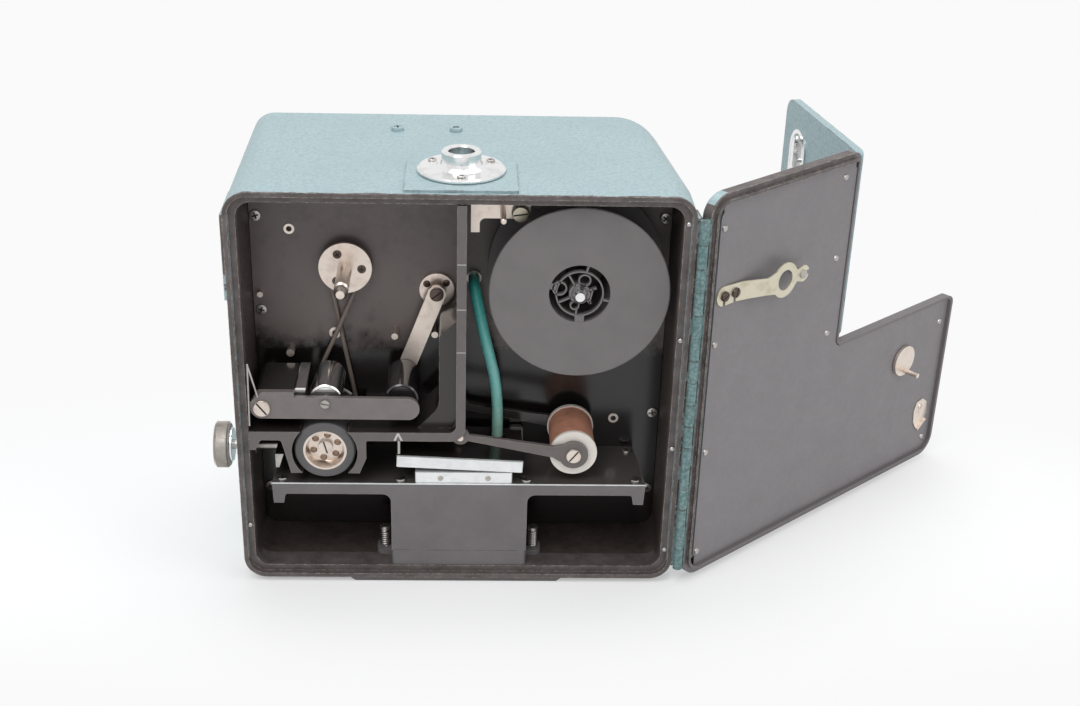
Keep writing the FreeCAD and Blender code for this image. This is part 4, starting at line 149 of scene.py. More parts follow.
class Graph(Nodes):
    """A material's node tree, with the patterns that the finishes share."""

    def __init__(self, name: str) -> None:
        """Start a material with one shader.

        Args:
            name: The material's name.
        """
        self.material = bpy.data.materials.new(name)
        self.material.use_nodes = True
        super().__init__(self.material.node_tree)
        self.shader = self.tree.nodes["Principled BSDF"]
        self.place = self.node("ShaderNodeTexCoord").outputs["Object"]

    def set(self, **sockets: object) -> None:
        """Set or feed the shader's sockets, named with underscores for spaces."""
        for name, value in sockets.items():
            self.link(value, self.shader.inputs[name.replace("_", " ")])

    def mapped(self, scale: Place, shift: Place = (0, 0, 0)) -> Socket:
        """Object coordinates multiplied along each axis and moved."""
        return self.node("ShaderNodeMapping", {
            "Vector": self.place, "Location": shift, "Scale": scale}).outputs["Vector"]

    def noise(self, size_mm: float, detail: float = 3.0, roughness: float = 0.5,
              where: Socket | None = None) -> Socket:
        """Cloudy noise.

        Args:
            size_mm: About how wide its blotches are.
            detail: How many finer layers it has.
            roughness: How strong the finer layers are.
            where: Coordinates other than the object's.

        Returns:
            The noise, from 0 to 1.
        """
        return self.node("ShaderNodeTexNoise", {
            "Vector": where or self.place, "Scale": 1 / (size_mm * MM), "Detail": detail,
            "Roughness": roughness}).outputs["Fac"]

    def cells(self, size_mm: float, smooth: float = 0.6) -> Socket:
        """Rounded cells about size_mm across."""
        return self.node("ShaderNodeTexVoronoi", {
            "Vector": self.place, "Scale": 1 / (size_mm * MM), "Smoothness": smooth},
            feature="SMOOTH_F1").outputs["Distance"]

    def span(self, value: Socket, low: float, high: float, start: float = 0.0, end: float = 1.0) -> Socket:
        """Stretch low..high of a value to start..end, clamped."""
        return self.node("ShaderNodeMapRange", {
            "Value": value, "From Min": low, "From Max": high, "To Min": start, "To Max": end,
        }).outputs["Result"]

    def mix(self, share: object, first: object, second: object) -> Socket:
        """Blend two colours by a share of the second."""
        return self.node("ShaderNodeMix", {"Factor": share, "A": first, "B": second},
                         data_type="RGBA").outputs["Result"]

    def bump(self, height: Socket, depth_mm: float, strength: float = 1.0) -> None:
        """Raise the surface by a pattern, on top of any raised before.

        Args:
            height: The pattern.
            depth_mm: How far it stands up where it is one.
            strength: How much of it shows.
        """
        inputs = {"Strength": strength, "Distance": depth_mm * MM, "Height": height}
        normal = self.shader.inputs["Normal"]
        if normal.is_linked:
            inputs["Normal"] = normal.links[0].from_socket
        self.link(self.node("ShaderNodeBump", inputs).outputs["Normal"], normal)

    def looking(self, vector: Socket) -> Socket:
        """How far the surface looks along a vector."""
        normal = self.node("ShaderNodeNewGeometry").outputs["Normal"]
        return self.node("ShaderNodeVectorMath", {0: vector, 1: normal},
                         operation="DOT_PRODUCT").outputs["Value"]

    def edges(self, reach_mm: float) -> Socket:
        """How near a surface point is to an edge, from 0 to about 1."""
        bevel = self.node("ShaderNodeBevel", {"Radius": reach_mm * MM}, samples=6)
        return self.span(self.looking(bevel.outputs["Normal"]), 0.98, 0.75)

    def outward(self, height_mm: float) -> Socket:
        """How far a wall looks away from a line along Y at a height: below 0 inside the box."""
        return self.looking(self.mapped((1, 0, 1), (0, 0, -height_mm * MM)))

    def axis(self, name: str, where: Socket | None = None) -> Socket:
        """One of the object coordinates, or of another place."""
        return self.node("ShaderNodeSeparateXYZ", {"Vector": where or self.place}).outputs[name]

    def swung(self, centre: Place, degrees: float) -> Socket:
        """Object coordinates turned about an upright line through a point in millimetres."""
        return self.node("ShaderNodeVectorRotate", {
            "Vector": self.place, "Center": Vector(centre) * MM, "Angle": math.radians(degrees)},
            rotation_type="Z_AXIS").outputs["Vector"]

    def below(self, value: Socket, limit_mm: float) -> Socket:
        """One where a coordinate is less than a limit in millimetres."""
        return self.math("LESS_THAN", value, limit_mm * MM)

    def above(self, value: Socket, limit_mm: float) -> Socket:
        """One where a coordinate is more than a limit in millimetres."""
        return self.math("GREATER_THAN", value, limit_mm * MM)


class Finish:
    """A look that becomes one material."""

    name: str

    def shade(self, g: Graph) -> None:
        """Draw the look on a graph; each finish has its own way."""
        raise NotImplementedError

    def build(self) -> bpy.types.Material:
        """Make the material.

        Returns:
            The material, with the finish's name.
        """
        g = Graph(self.name)
        self.shade(g)
        return g.material


@dataclass(frozen=True)
class HammeredEnamel(Finish):
    """Pale teal hammered paint, worn to dark metal along its edges."""

    name: str = "hammered_enamel"
    light: Colour = paint(166, 187, 190)
    dark: Colour = paint(152, 173, 177)
    worn: Colour = paint(84, 74, 68)
    chip: float = 0.5
    speck_mm: float = 1.7

    def skin(self, g: Graph) -> Socket:
        """Draw the paint's roughness and hammered bump on a graph.

        Args:
            g: The graph.

        Returns:
            The paint's colour with its chips.
        """
        cells = g.cells(self.speck_mm)
        body = g.mix(g.span(cells, 0.15, 0.75), self.light, self.dark)
        body = g.mix(g.span(g.noise(38, 4), 0.4, 0.7, 0, 0.5), body, self.dark)
        rub = g.all_of(g.edges(1.4), g.span(g.noise(9, 5, 0.7), 0.46, 0.62))
        spots = g.span(g.noise(3.2, 6, 0.8), 0.715, 0.75)
        wear = g.any_of(g.math("MULTIPLY", rub, self.chip * 2), g.math("MULTIPLY", spots, 0.6))
        g.set(Metallic=0.2, Roughness=g.span(cells, 0.1, 0.8, 0.4, 0.54))
        g.bump(cells, 0.1, 0.4)
        return g.mix(wear, body, self.worn)

    def shade(self, g: Graph) -> None:
        """Draw the paint."""
        g.set(Base_Color=self.skin(g))


@dataclass(frozen=True)
class ChippedIron:
    """The brown-black cast rim with pale chips along its edges, a part of two other finishes."""

    colour: Colour = paint(104, 97, 95)
    deep: Colour = paint(78, 71, 68)
    pale: Colour = paint(196, 190, 182)

    def skin(self, g: Graph) -> Socket:
        """The rim's colour.

        Args:
            g: The graph to draw it on.

        Returns:
            The colour with its chips.
        """
        body = g.mix(g.span(g.noise(9, 5, 0.7), 0.35, 0.65), self.colour, self.deep)
        chips = g.all_of(g.edges(0.9), g.span(g.noise(2.6, 6, 0.8), 0.46, 0.58))
        flecks = g.span(g.noise(1.7, 6, 0.85), 0.67, 0.71, 0, 0.8)
        return g.mix(g.any_of(g.math("MULTIPLY", chips, 0.9), flecks), body, self.pale)


@dataclass(frozen=True)
class CastCase(Finish):
    """The casing's paint: teal outside, brown-black inside and on the worn rim."""

    name: str = "cast_case"
    outside: HammeredEnamel = HammeredEnamel()
    rim: ChippedIron = ChippedIron()
    inside: Colour = paint(60, 50, 47)
    inside_pale: Colour = paint(82, 72, 68)
    half_width: float = 113.55
    low: float = 5.45
    high: float = 220.55
    middle: float = 113.0
    back: float = 62.0
    rim_start: float = -67.8
    rim_end: float = -65.6
    lip: float = -58.0
    sole_top: float = 12.0
    sole_back: float = -52.0

    def shade(self, g: Graph) -> None:
        """Draw the casing, split by place.

        Args:
            g: The graph.
        """
        x, y, z = (g.axis(a) for a in "XYZ")
        side = g.below(g.math("ABSOLUTE", x), self.half_width)
        tall = g.all_of(g.above(z, self.low), g.below(z, self.high))
        inward = g.math("LESS_THAN", g.outward(self.middle), 0.01)
        hollow = g.all_of(side, tall, g.below(y, self.back), inward)
        edge = g.span(g.noise(16, 6, 0.7), 0.38, 0.66, self.rim_start * MM, self.rim_end * MM)
        sole = g.all_of(g.below(z, self.sole_top), g.below(y, self.sole_back))
        rim = g.any_of(g.math("LESS_THAN", y, edge), g.all_of(hollow, g.below(y, self.lip)), sole)
        dark = g.mix(g.span(g.noise(6, 5, 0.7), 0.35, 0.7), self.inside, self.inside_pale)
        g.set(Base_Color=g.mix(rim, g.mix(hollow, self.outside.skin(g), dark), self.rim.skin(g)))


@dataclass(frozen=True)
class DoorPaint(Finish):
    """The main door: teal outside and by the hinge, brown rim, grey along the free edges."""

    name: str = "door_paint"
    outside: HammeredEnamel = HammeredEnamel()
    rim: ChippedIron = ChippedIron()
    grey: Colour = paint(114, 109, 110)
    rim_depth: float = -69.3
    floor_depth: float = -74.2
    channel: Span = (104.0, 113.4)
    free_edge: float = -103.0
    foot: float = 11.5
    notch: Span = (3.5, 101.0)

    def shade(self, g: Graph) -> None:
        """Draw the door, split by place as if it were shut.

        Args:
            g: The graph.
        """
        shut = g.swung(HINGE, -DOOR_TURN)
        x, y, z = (g.axis(a, shut) for a in "XYZ")
        inner = g.above(y, self.floor_depth)
        low, high = self.channel
        channel = g.all_of(g.below(x, high), g.above(x, low))
        notch = g.all_of(g.below(x, self.notch[0]), g.above(z, self.notch[1]))
        plain = g.all_of(g.any_of(g.below(z, self.foot), g.below(x, self.free_edge), notch), inner)
        dark = self.rim.skin(g)
        body = g.mix(g.all_of(inner, g.math("SUBTRACT", 1.0, channel)), self.outside.skin(g), dark)
        body = g.mix(g.above(y, self.rim_depth), body, dark)
        g.set(Base_Color=g.mix(plain, body, self.grey))


@dataclass(frozen=True)
class PipePaint(Finish):
    """Glossy teal that fades down the pipe, as in the photograph."""

    name: str = "pipe_teal"
    top: Colour = paint(78, 196, 186)
    middle: Colour = paint(128, 204, 197)
    foot: Colour = paint(140, 176, 160)
    upper_fade: Span = (0.155, 0.115)
    lower_fade: Span = (0.105, 0.078)

    def shade(self, g: Graph) -> None:
        """Draw the pipe's paint.

        Args:
            g: The graph.
        """
        height = g.axis("Z")
        body = g.mix(g.span(height, *self.upper_fade), self.top, self.middle)
        body = g.mix(g.span(height, *self.lower_fade), body, self.foot)
        mottle = g.span(g.noise(4, 5, 0.7), 0.4, 0.75, 0, 0.25)
        g.set(Base_Color=g.mix(mottle, body, self.top), Coat_Weight=0.4,
              Roughness=g.span(g.noise(3, 4), 0.3, 0.7, 0.24, 0.36))
        g.bump(g.noise(1.1, 3), 0.02, 0.4)


@dataclass(frozen=True)
class SatinPaint(Finish):
    """Plain satin paint with a fine texture and rubbed edges."""

    name: str
    colour: Colour
    rubbed: Colour = paint(120, 112, 106)
    roughness: float = 0.45
    grain_mm: float = 1.2
    rub: float = 0.5
    mottle: float = 1.18

    def shade(self, g: Graph) -> None:
        """Draw the paint.

        Args:
            g: The graph.
        """
        lighter = tuple(min(1.0, c * self.mottle + 0.002) for c in self.colour)
        body = g.mix(g.span(g.noise(18, 5, 0.6), 0.35, 0.7), self.colour, lighter)
        rub = g.all_of(g.edges(0.7), g.span(g.noise(5, 5, 0.7), 0.45, 0.65, 0, self.rub))
        dust = g.span(g.noise(1.6, 4, 0.8), 0.68, 0.8, 0, 0.25)
        g.set(Base_Color=g.mix(g.any_of(rub, dust), body, self.rubbed), Metallic=0.1,
              Roughness=g.span(g.noise(3, 4), 0.3, 0.7, self.roughness - 0.08, self.roughness + 0.1))
        g.bump(g.noise(self.grain_mm, 3), 0.05, 0.5)


@dataclass(frozen=True)
class FacedFinish(Finish):
    """Satin paint or bare metal on the front faces, and glossy black behind them."""

    name: str
    face: Colour
    split_mm: float
    behind: Colour = paint(38, 33, 32)
    face_roughness: float = 0.45
    behind_roughness: float = 0.17
    metal: float = 0.0
    pale: Colour = paint(176, 168, 162)
    rub: float = 0.7

    def shade(self, g: Graph) -> None:
        """Draw the look, split by depth.

        Args:
            g: The graph.
        """
        front = g.below(g.axis("Y"), self.split_mm)
        face = g.mix(g.span(g.noise(9, 5, 0.65), 0.35, 0.75, 0, 0.2), self.face, self.behind)
        rub = g.all_of(g.edges(0.6), g.span(g.noise(5, 5, 0.7), 0.42, 0.62, 0, self.rub))
        g.set(Base_Color=g.mix(rub, g.mix(front, self.behind, face), self.pale),
              Metallic=g.span(front, 0, 1, 0, self.metal), Coat_Weight=0.3, Coat_Roughness=0.12,
              Roughness=g.span(front, 0, 1, self.behind_roughness, self.face_roughness))
        g.bump(g.noise(0.9, 3), 0.03, 0.4)


@dataclass(frozen=True)
class OiledPlate(Finish):
    """The mechanism plate: glossy below a ragged border, and above it duller and lightened by a painted
    reflection.
    """

    name: str = "plate_paint"
    painted_reflection: Colour = paint(104, 94, 91)
    glossy: Colour = paint(27, 23, 22)
    specks: Colour = paint(128, 120, 114)
    border: Span = (0.112, 0.136)
    blend: Span = (-0.004, 0.008)

    def shade(self, g: Graph) -> None:
        """Draw the plate, split by height.

        Args:
            g: The graph.
        """
        border = g.span(g.noise(26, 5, 0.6), 0.3, 0.7, *self.border)
        # Above the ragged border the plate takes the painted reflection colour and more roughness.
        share = g.span(g.math("SUBTRACT", g.axis("Z"), border), *self.blend)
        body = g.mix(share, self.glossy, self.painted_reflection)
        body = g.mix(g.span(g.noise(14, 5, 0.7), 0.5, 0.75, 0, 0.35), body, self.glossy)
        dust = g.span(g.noise(1.3, 5, 0.8), 0.7, 0.8, 0, 0.25)
        g.set(Base_Color=g.mix(dust, body, self.specks), Coat_Weight=0.2, Coat_Roughness=0.14,
              Roughness=g.span(share, 0, 1, 0.2, 0.4))
        g.bump(g.noise(0.9, 3), 0.04, 0.4)


@dataclass(frozen=True)
class BareMetal(Finish):
    """Machined or plated metal with fine scratches and dull patches."""

    name: str
    colour: Colour
    tarnish: Colour
    roughness: float = 0.25
    brush: Place = (1.0, 1.0, 1.0)
    metallic: float = 1.0

    def shade(self, g: Graph) -> None:
        """Draw the metal.

        Args:
            g: The graph.
        """
        patches = g.span(g.noise(7, 5, 0.65), 0.5, 0.75, 0, 0.6)
        streaks = g.noise(0.5, 3, 0.6, g.mapped(self.brush))
        g.set(Base_Color=g.mix(patches, self.colour, self.tarnish), Metallic=self.metallic,
              Roughness=g.span(streaks, 0.25, 0.75, self.roughness - 0.06, self.roughness + 0.14))
        g.bump(streaks, 0.012, 0.5)


@dataclass(frozen=True)
class Moulding(Finish):
    """Moulded plastic or rubber with a faint mottle."""

    name: str
    colour: Colour
    roughness: float = 0.4
    grain_mm: float = 0.8
    coat: float = 0.0

    def shade(self, g: Graph) -> None:
        """Draw the moulding.

        Args:
            g: The graph.
        """
        darker = tuple(c * 0.9 for c in self.colour)
        paler = tuple(min(1.0, c + 0.18) for c in self.colour)
        body = g.mix(g.span(g.noise(14, 5, 0.6), 0.4, 0.7), self.colour, darker)
        dust = g.span(g.noise(1.2, 5, 0.8), 0.66, 0.8, 0, 0.3)
        g.set(Base_Color=g.mix(dust, body, paler), Coat_Weight=self.coat,
              Roughness=g.span(g.noise(4, 4), 0.3, 0.7, self.roughness - 0.06, self.roughness + 0.1))
        g.bump(g.noise(self.grain_mm, 3), 0.03, 0.5)


@dataclass(frozen=True)
class CoatedGlass(Finish):
    """Lens glass with a faint cool coating."""

    name: str = "coated_glass"
    tint: Colour = paint(214, 226, 240)

    def shade(self, g: Graph) -> None:
        """Draw the glass."""
        g.set(Base_Color=self.tint, Transmission_Weight=1.0, IOR=1.52,
              Roughness=g.span(g.noise(3, 4), 0.4, 0.8, 0.0, 0.04))


# Paints.
CASE = CastCase()
TEAL = HammeredEnamel()
DOOR = DoorPaint()
BLACK = SatinPaint("black_enamel", paint(50, 45, 43))
HINGE_TEAL = HammeredEnamel("hinge_teal", paint(134, 156, 156), paint(84, 114, 114), chip=0.9)
ARM_GREY = SatinPaint("arm_grey", paint(104, 97, 94), paint(178, 170, 162))
GUIDE_GREY = FacedFinish("guide_grey", paint(116, 109, 107), -61.5)
DANCER_GREY = FacedFinish("dancer_grey", paint(100, 93, 90), -48.0)
CAST_GREY = FacedFinish("cast_grey", paint(98, 92, 90), -65.4, paint(44, 38, 36), behind_roughness=0.26)
SHOE_METAL = FacedFinish("shoe_metal", paint(238, 240, 240), -61.4, face_roughness=0.4, metal=0.4,
                         pale=paint(238, 240, 240), rub=0.3)
PLATE_PAINT = OiledPlate()
BLOCK_GREY = SatinPaint("block_grey", paint(104, 100, 101), paint(196, 194, 192), rub=0.4)
TABLE_GREY = FacedFinish("table_grey", paint(104, 100, 101), -63.6, paint(72, 68, 66), behind_roughness=0.2)
FOOT_GREY = SatinPaint("foot_grey", paint(96, 91, 92), paint(170, 166, 162))
LINER = SatinPaint("liner_grey", paint(126, 122, 124), paint(140, 136, 136), roughness=0.5, rub=0.2,
                   mottle=1.08)
PIPE_TEAL = PipePaint()
# Metals.
STEEL = BareMetal("steel", paint(186, 182, 178), paint(128, 120, 114), 0.28)
NICKEL = BareMetal("nickel", paint(226, 214, 204), paint(182, 162, 150), 0.3)
WORN_NICKEL = BareMetal("worn_nickel", paint(196, 190, 184), paint(150, 142, 136), 0.5, metallic=0.7)
CHROME = BareMetal("chrome", paint(236, 236, 236), paint(200, 198, 196), 0.12)
ALUMINIUM = BareMetal("aluminium", paint(236, 238, 238), paint(204, 206, 204), 0.42, (1.0, 0.06, 1.0), 0.5)
BRASS = BareMetal("brass", paint(214, 208, 188), paint(178, 166, 138), 0.42, metallic=0.8)
BLUED = BareMetal("blued_steel", paint(96, 84, 78), paint(60, 52, 48), 0.3)
COPPER = BareMetal("copper_sleeve", paint(212, 150, 124), paint(164, 110, 90), 0.42, metallic=0.3)
# Rubber, plastic, marks and glass.
RUBBER = Moulding("rubber", paint(92, 90, 90), 0.62)
BELT = Moulding("belt_rubber", paint(122, 110, 102), 0.6)
REEL_GREY = Moulding("reel_grey", paint(112, 108, 108), 0.46)
GLOSS_BLACK = Moulding("gloss_black", paint(38, 35, 35), 0.16, coat=0.6)
# Painted shade: a dark moulding set in screw recesses and sleeve bores, where only shade falls.
PAINTED_SHADE = Moulding("painted_shade", paint(34, 29, 27), 0.6)
CREAM = Moulding("cream", paint(228, 221, 212), 0.4)
WHITE_MARK = Moulding("white_mark", paint(196, 194, 190), 0.6)
GLASS = CoatedGlass()


class Facing(Enum):
    """Which way a turned piece looks."""

    UP = (0.0, 0.0)
    FRONT = (90.0, 0.0)
    BACK = (-90.0, 0.0)
    RIGHT = (0.0, 90.0)

    def turn(self) -> Matrix:
        """The rotation that points +Z this way."""
        across, along = (math.radians(angle) for angle in self.value)
        return Matrix.Rotation(across, 4, "X") @ Matrix.Rotation(along, 4, "Y")


class Drive(Enum):
    """How a screw is driven."""

    SLOT = "slot"
    CROSS = "cross"


# A screw's place, the way it looks and its spin in degrees.
Seat = tuple[Place, Facing, float]


def ring_point(x: float, y: float, radius: float, degrees: float) -> Spot:
    """A point on a circle.

    Args:
        x: The middle across.
        y: The middle along.
        radius: The circle's radius.
        degrees: Where on the circle, with 0 across.

    Returns:
        The point.
    """
    return x + radius * math.cos(math.radians(degrees)), y + radius * math.sin(math.radians(degrees))


def ring_seats(centre: Spot, depth: float, radius: float, angles: Row) -> list[Seat]:
    """Seats on a circle that look to the front.

    Args:
        centre: The circle's middle in X and Z.
        depth: Y of the seats.
        radius: The circle's radius.
        angles: Where each seat is, which is also its spin.

    Returns:
        The seats.
    """
    spots = [ring_point(*centre, radius, angle) for angle in angles]
    return [((x, depth, z), Facing.FRONT, angle) for (x, z), angle in zip(spots, angles)]


def door_place() -> Matrix:
    """The turn that carries a piece from the shut door to the open one."""
    centre = Matrix.Translation(Vector(HINGE) * MM)
    return centre @ Matrix.Rotation(math.radians(DOOR_TURN), 4, "Z") @ centre.inverted()


class Bench:
    """Modelling steps that the sub-assemblies share."""

    @staticmethod
    def clear() -> None:
        """Leave edit mode and deselect everything."""
        active = bpy.context.view_layer.objects.active
        if active and active.mode != "OBJECT":
            bpy.ops.object.mode_set(mode="OBJECT")
        bpy.ops.object.select_all(action="DESELECT")

    @classmethod
    def take(cls, piece: Piece) -> None:
        """Select one piece alone.

        Args:
            piece: The piece.
        """
        cls.clear()
        piece.select_set(True)
        bpy.context.view_layer.objects.active = piece

    @classmethod
    def turned(cls, name: str, profile: list[Spot], sides: int = 48) -> Piece:
        """Model a turned piece from a disc by extruding and resizing its face.

        Args:
            name: The piece's name.
            profile: Radius and height of each step, in millimetres.
            sides: Sides of the round.

        Returns:
            The piece, along +Z.
        """
        cls.clear()
        wide, at = profile[0]
        bpy.ops.mesh.primitive_circle_add(vertices=sides, radius=wide * MM, fill_type="NGON",
                                          location=(0, 0, at * MM))
        piece = bpy.context.active_object
        piece.name = name
        bpy.ops.object.transform_apply(location=True, rotation=True, scale=True)
        bpy.ops.object.mode_set(mode="EDIT")
        bpy.ops.mesh.select_all(action="SELECT")
        for radius, height in profile[1:]:
            bpy.ops.mesh.extrude_region_move(TRANSFORM_OT_translate={"value": (0, 0, (height - at) * MM)})
            grow = radius / wide
            bpy.ops.transform.resize(value=(grow, grow, 1), center_override=(0, 0, height * MM))
            wide, at = radius, height
        return cls.close(piece)

    @classmethod
    def slab(cls, name: str, outline: list[Spot], front: float, back: float) -> Piece:
        """Model a plate from its outline in X and Z, extruded from front to back along Y.

        Args:
            name: The piece's name.
            outline: Corners in millimetres.
            front: Y of the front face, in millimetres.
            back: Y of the back face.

        Returns:
            The piece.
        """
        cls.clear()
        bpy.ops.mesh.primitive_circle_add(vertices=len(outline), radius=MM, fill_type="NGON")
        piece = bpy.context.active_object
        piece.name = name
        for vertex, (x, z) in zip(piece.data.vertices, outline):
            vertex.co = Vector((x, front, z)) * MM
        bpy.ops.object.mode_set(mode="EDIT")
        bpy.ops.mesh.select_all(action="SELECT")
        bpy.ops.mesh.extrude_region_move(TRANSFORM_OT_translate={"value": (0, (back - front) * MM, 0)})
        return cls.close(piece)

    @staticmethod
    def close(piece: Piece) -> Piece:
        """Turn all faces of a piece in edit mode outwards and leave edit mode.

        Args:
            piece: The piece.

        Returns:
            The same piece.
        """
        bpy.ops.mesh.select_all(action="SELECT")
        bpy.ops.mesh.normals_make_consistent(inside=False)
        bpy.ops.object.mode_set(mode="OBJECT")
        return piece

    @classmethod
    def bar(cls, name: str, low: Place, high: Place) -> Piece:
        """Model a bar.

        Args:
            name: The bar's name.
            low: Its low corner in millimetres.
            high: Its high corner.

        Returns:
            The bar.
        """
        cls.clear()
        middle = (Vector(low) + Vector(high)) / 2 * MM
        bpy.ops.mesh.primitive_cube_add(size=1, location=middle)
        piece = bpy.context.active_object
        piece.name = name
        piece.scale = (Vector(high) - Vector(low)) * MM
        bpy.ops.object.transform_apply(location=True, rotation=True, scale=True)
        return piece

    @classmethod
    def apply(cls, piece: Piece, kind: str, **settings: object) -> Piece:
        """Add a modifier and apply it.

        Args:
            piece: The piece that gets it.
            kind: The modifier's type.
            settings: The modifier's properties.

        Returns:
            The same piece.
        """
        cls.take(piece)
        modifier = piece.modifiers.new(kind.lower(), kind)
        for name, value in settings.items():
            setattr(modifier, name, value)
        bpy.ops.object.modifier_apply(modifier=modifier.name)
        return piece

    @classmethod
    def cut(cls, piece: Piece, *tools: Piece) -> Piece:
        """Take tools away from a piece and remove them.

        Args:
            piece: The piece to cut.
            tools: The pieces to take away, in order.

        Returns:
            The cut piece.
        """
        for tool in tools:
            cls.apply(piece, "BOOLEAN", operation="DIFFERENCE", object=tool, solver="EXACT")
            bpy.data.objects.remove(tool, do_unlink=True)
        return piece

    @classmethod
    def soften(cls, piece: Piece, width: float, segments: int = 2) -> Piece:
        """Round a piece's sharp edges by a width in millimetres."""
        return cls.apply(piece, "BEVEL", width=width * MM, segments=segments, limit_method="ANGLE",
                         angle_limit=math.radians(40))

    @classmethod
    def put(cls, piece: Piece, place: Place, facing: Facing = Facing.UP, spin: float = 0.0,
            carry: Matrix | None = None) -> Piece:
        """Turn a piece, bring it to its place, and apply both.

        Args:
            piece: The piece, along +Z.
            place: Its place in millimetres.
            facing: Which way its +Z looks.
            spin: Its turn about its own +Z first, in degrees.
            carry: A further turn, for a piece on the open door.

        Returns:
            The same piece.
        """
        cls.take(piece)
        turn = facing.turn() @ Matrix.Rotation(math.radians(spin), 4, "Z")
        piece.matrix_world = (carry or Matrix.Identity(4)) @ Matrix.Translation(Vector(place) * MM) @ turn
        bpy.ops.object.transform_apply(location=True, rotation=True, scale=True)
        return piece

    @classmethod
    def on_door(cls, *pieces: Piece) -> list[Piece]:
        """Carry pieces modelled on the shut door to the open one."""
        return [cls.put(piece, (0, 0, 0), carry=door_place()) for piece in pieces]

    @staticmethod
    def twin(piece: Piece) -> Piece:
        """Copy a piece with its own mesh.

        Args:
            piece: The piece.

        Returns:
            The copy.
        """
        copy = piece.copy()
        copy.data = piece.data.copy()
        bpy.context.scene.collection.objects.link(copy)
        return copy

    @classmethod
    def weld(cls, name: str, pieces: list[Piece]) -> Piece:
        """Join pieces into one object.

        Args:
            name: The object's name.
            pieces: The pieces to join.

        Returns:
            The object.
        """
        cls.clear()
        for piece in pieces:
            piece.select_set(True)
        bpy.context.view_layer.objects.active = pieces[0]
        if len(pieces) > 1:
            bpy.ops.object.join()
        pieces[0].name = name
        pieces[0].data.name = name
        return pieces[0]


@dataclass
class ScrewHead:
    """A screw head with its recess, modelled once and copied."""

    radius: float
    height: float
    drive: Drive = Drive.SLOT
    dome: float = 0.25
    sides: int = 32

    def model(self, name: str) -> Piece:
        """Model the head along +Z from its seat.

        Args:
            name: The head's name.

        Returns:
            The head.
        """
        r, h = self.radius, self.height
        edge = min(0.35, h / 2)
        head = Bench.turned(name, [(r, -0.05), (r, h - edge), (r - edge * 0.5, h - edge * 0.2),
                                   (r - edge * 1.4, h), (r * 0.5, h + self.dome * 0.6),
                                   (r * 0.12, h + self.dome)], self.sides)
        depth = h * 0.62
        if self.drive is Drive.SLOT:
            tools = [Bench.bar("slot", (-r - 1, -r * 0.11, h - depth), (r + 1, r * 0.11, h + 2))]
        else:
            arms = (r * 0.62, r * 0.16), (r * 0.16, r * 0.62)
            tools = [Bench.bar("cross", (-x, -y, h - depth), (x, y, h + 2)) for x, y in arms]
        return Bench.cut(head, *tools)

    def recess_shade(self, name: str, places: list[Seat]) -> Piece:
        """Painted shade: dark fillings in the recesses, where only shade falls.

        Args:
            name: The piece's name.
            places: The same places as the heads'.

        Returns:
            The joined fillings.
        """
        r, h = self.radius, self.height
        low, high = h * 0.2, h * (0.72 if self.drive is Drive.SLOT else 0.8)
        # Dark bars under each head's top that paint the shade of its slot or cross.
        fills = []
        for place, facing, spin in places:
            if self.drive is Drive.SLOT:
                bars = [Bench.bar("painted_shade", (-r * 0.93, -r * 0.1, low), (r * 0.93, r * 0.1, high))]
            else:
                arm, half = r * 0.6, r * 0.15
                bars = [Bench.bar("painted_shade", (-arm, -half, low), (arm, half, high)),
                        Bench.bar("painted_shade", (-half, -arm, low), (half, arm, high * 0.99))]
            fills += [Bench.put(bar, place, facing, spin) for bar in bars]
        return Bench.weld(name, fills)

    def set_at(self, name: str, places: list[Seat], carry: Matrix | None = None) -> Piece:
        """Copy the head to several places as one piece.

        Args:
            name: The piece's name.
            places: Place in millimetres, way it looks and spin in degrees of each head.
            carry: A further turn for pieces on the open door.

        Returns:
            The joined heads.
        """
        first = self.model(name)
        heads = [first] + [Bench.twin(first) for _ in places[1:]]
        for head, (place, facing, spin) in zip(heads, places):
            Bench.put(head, place, facing, spin, carry)
        return Bench.weld(name, heads)


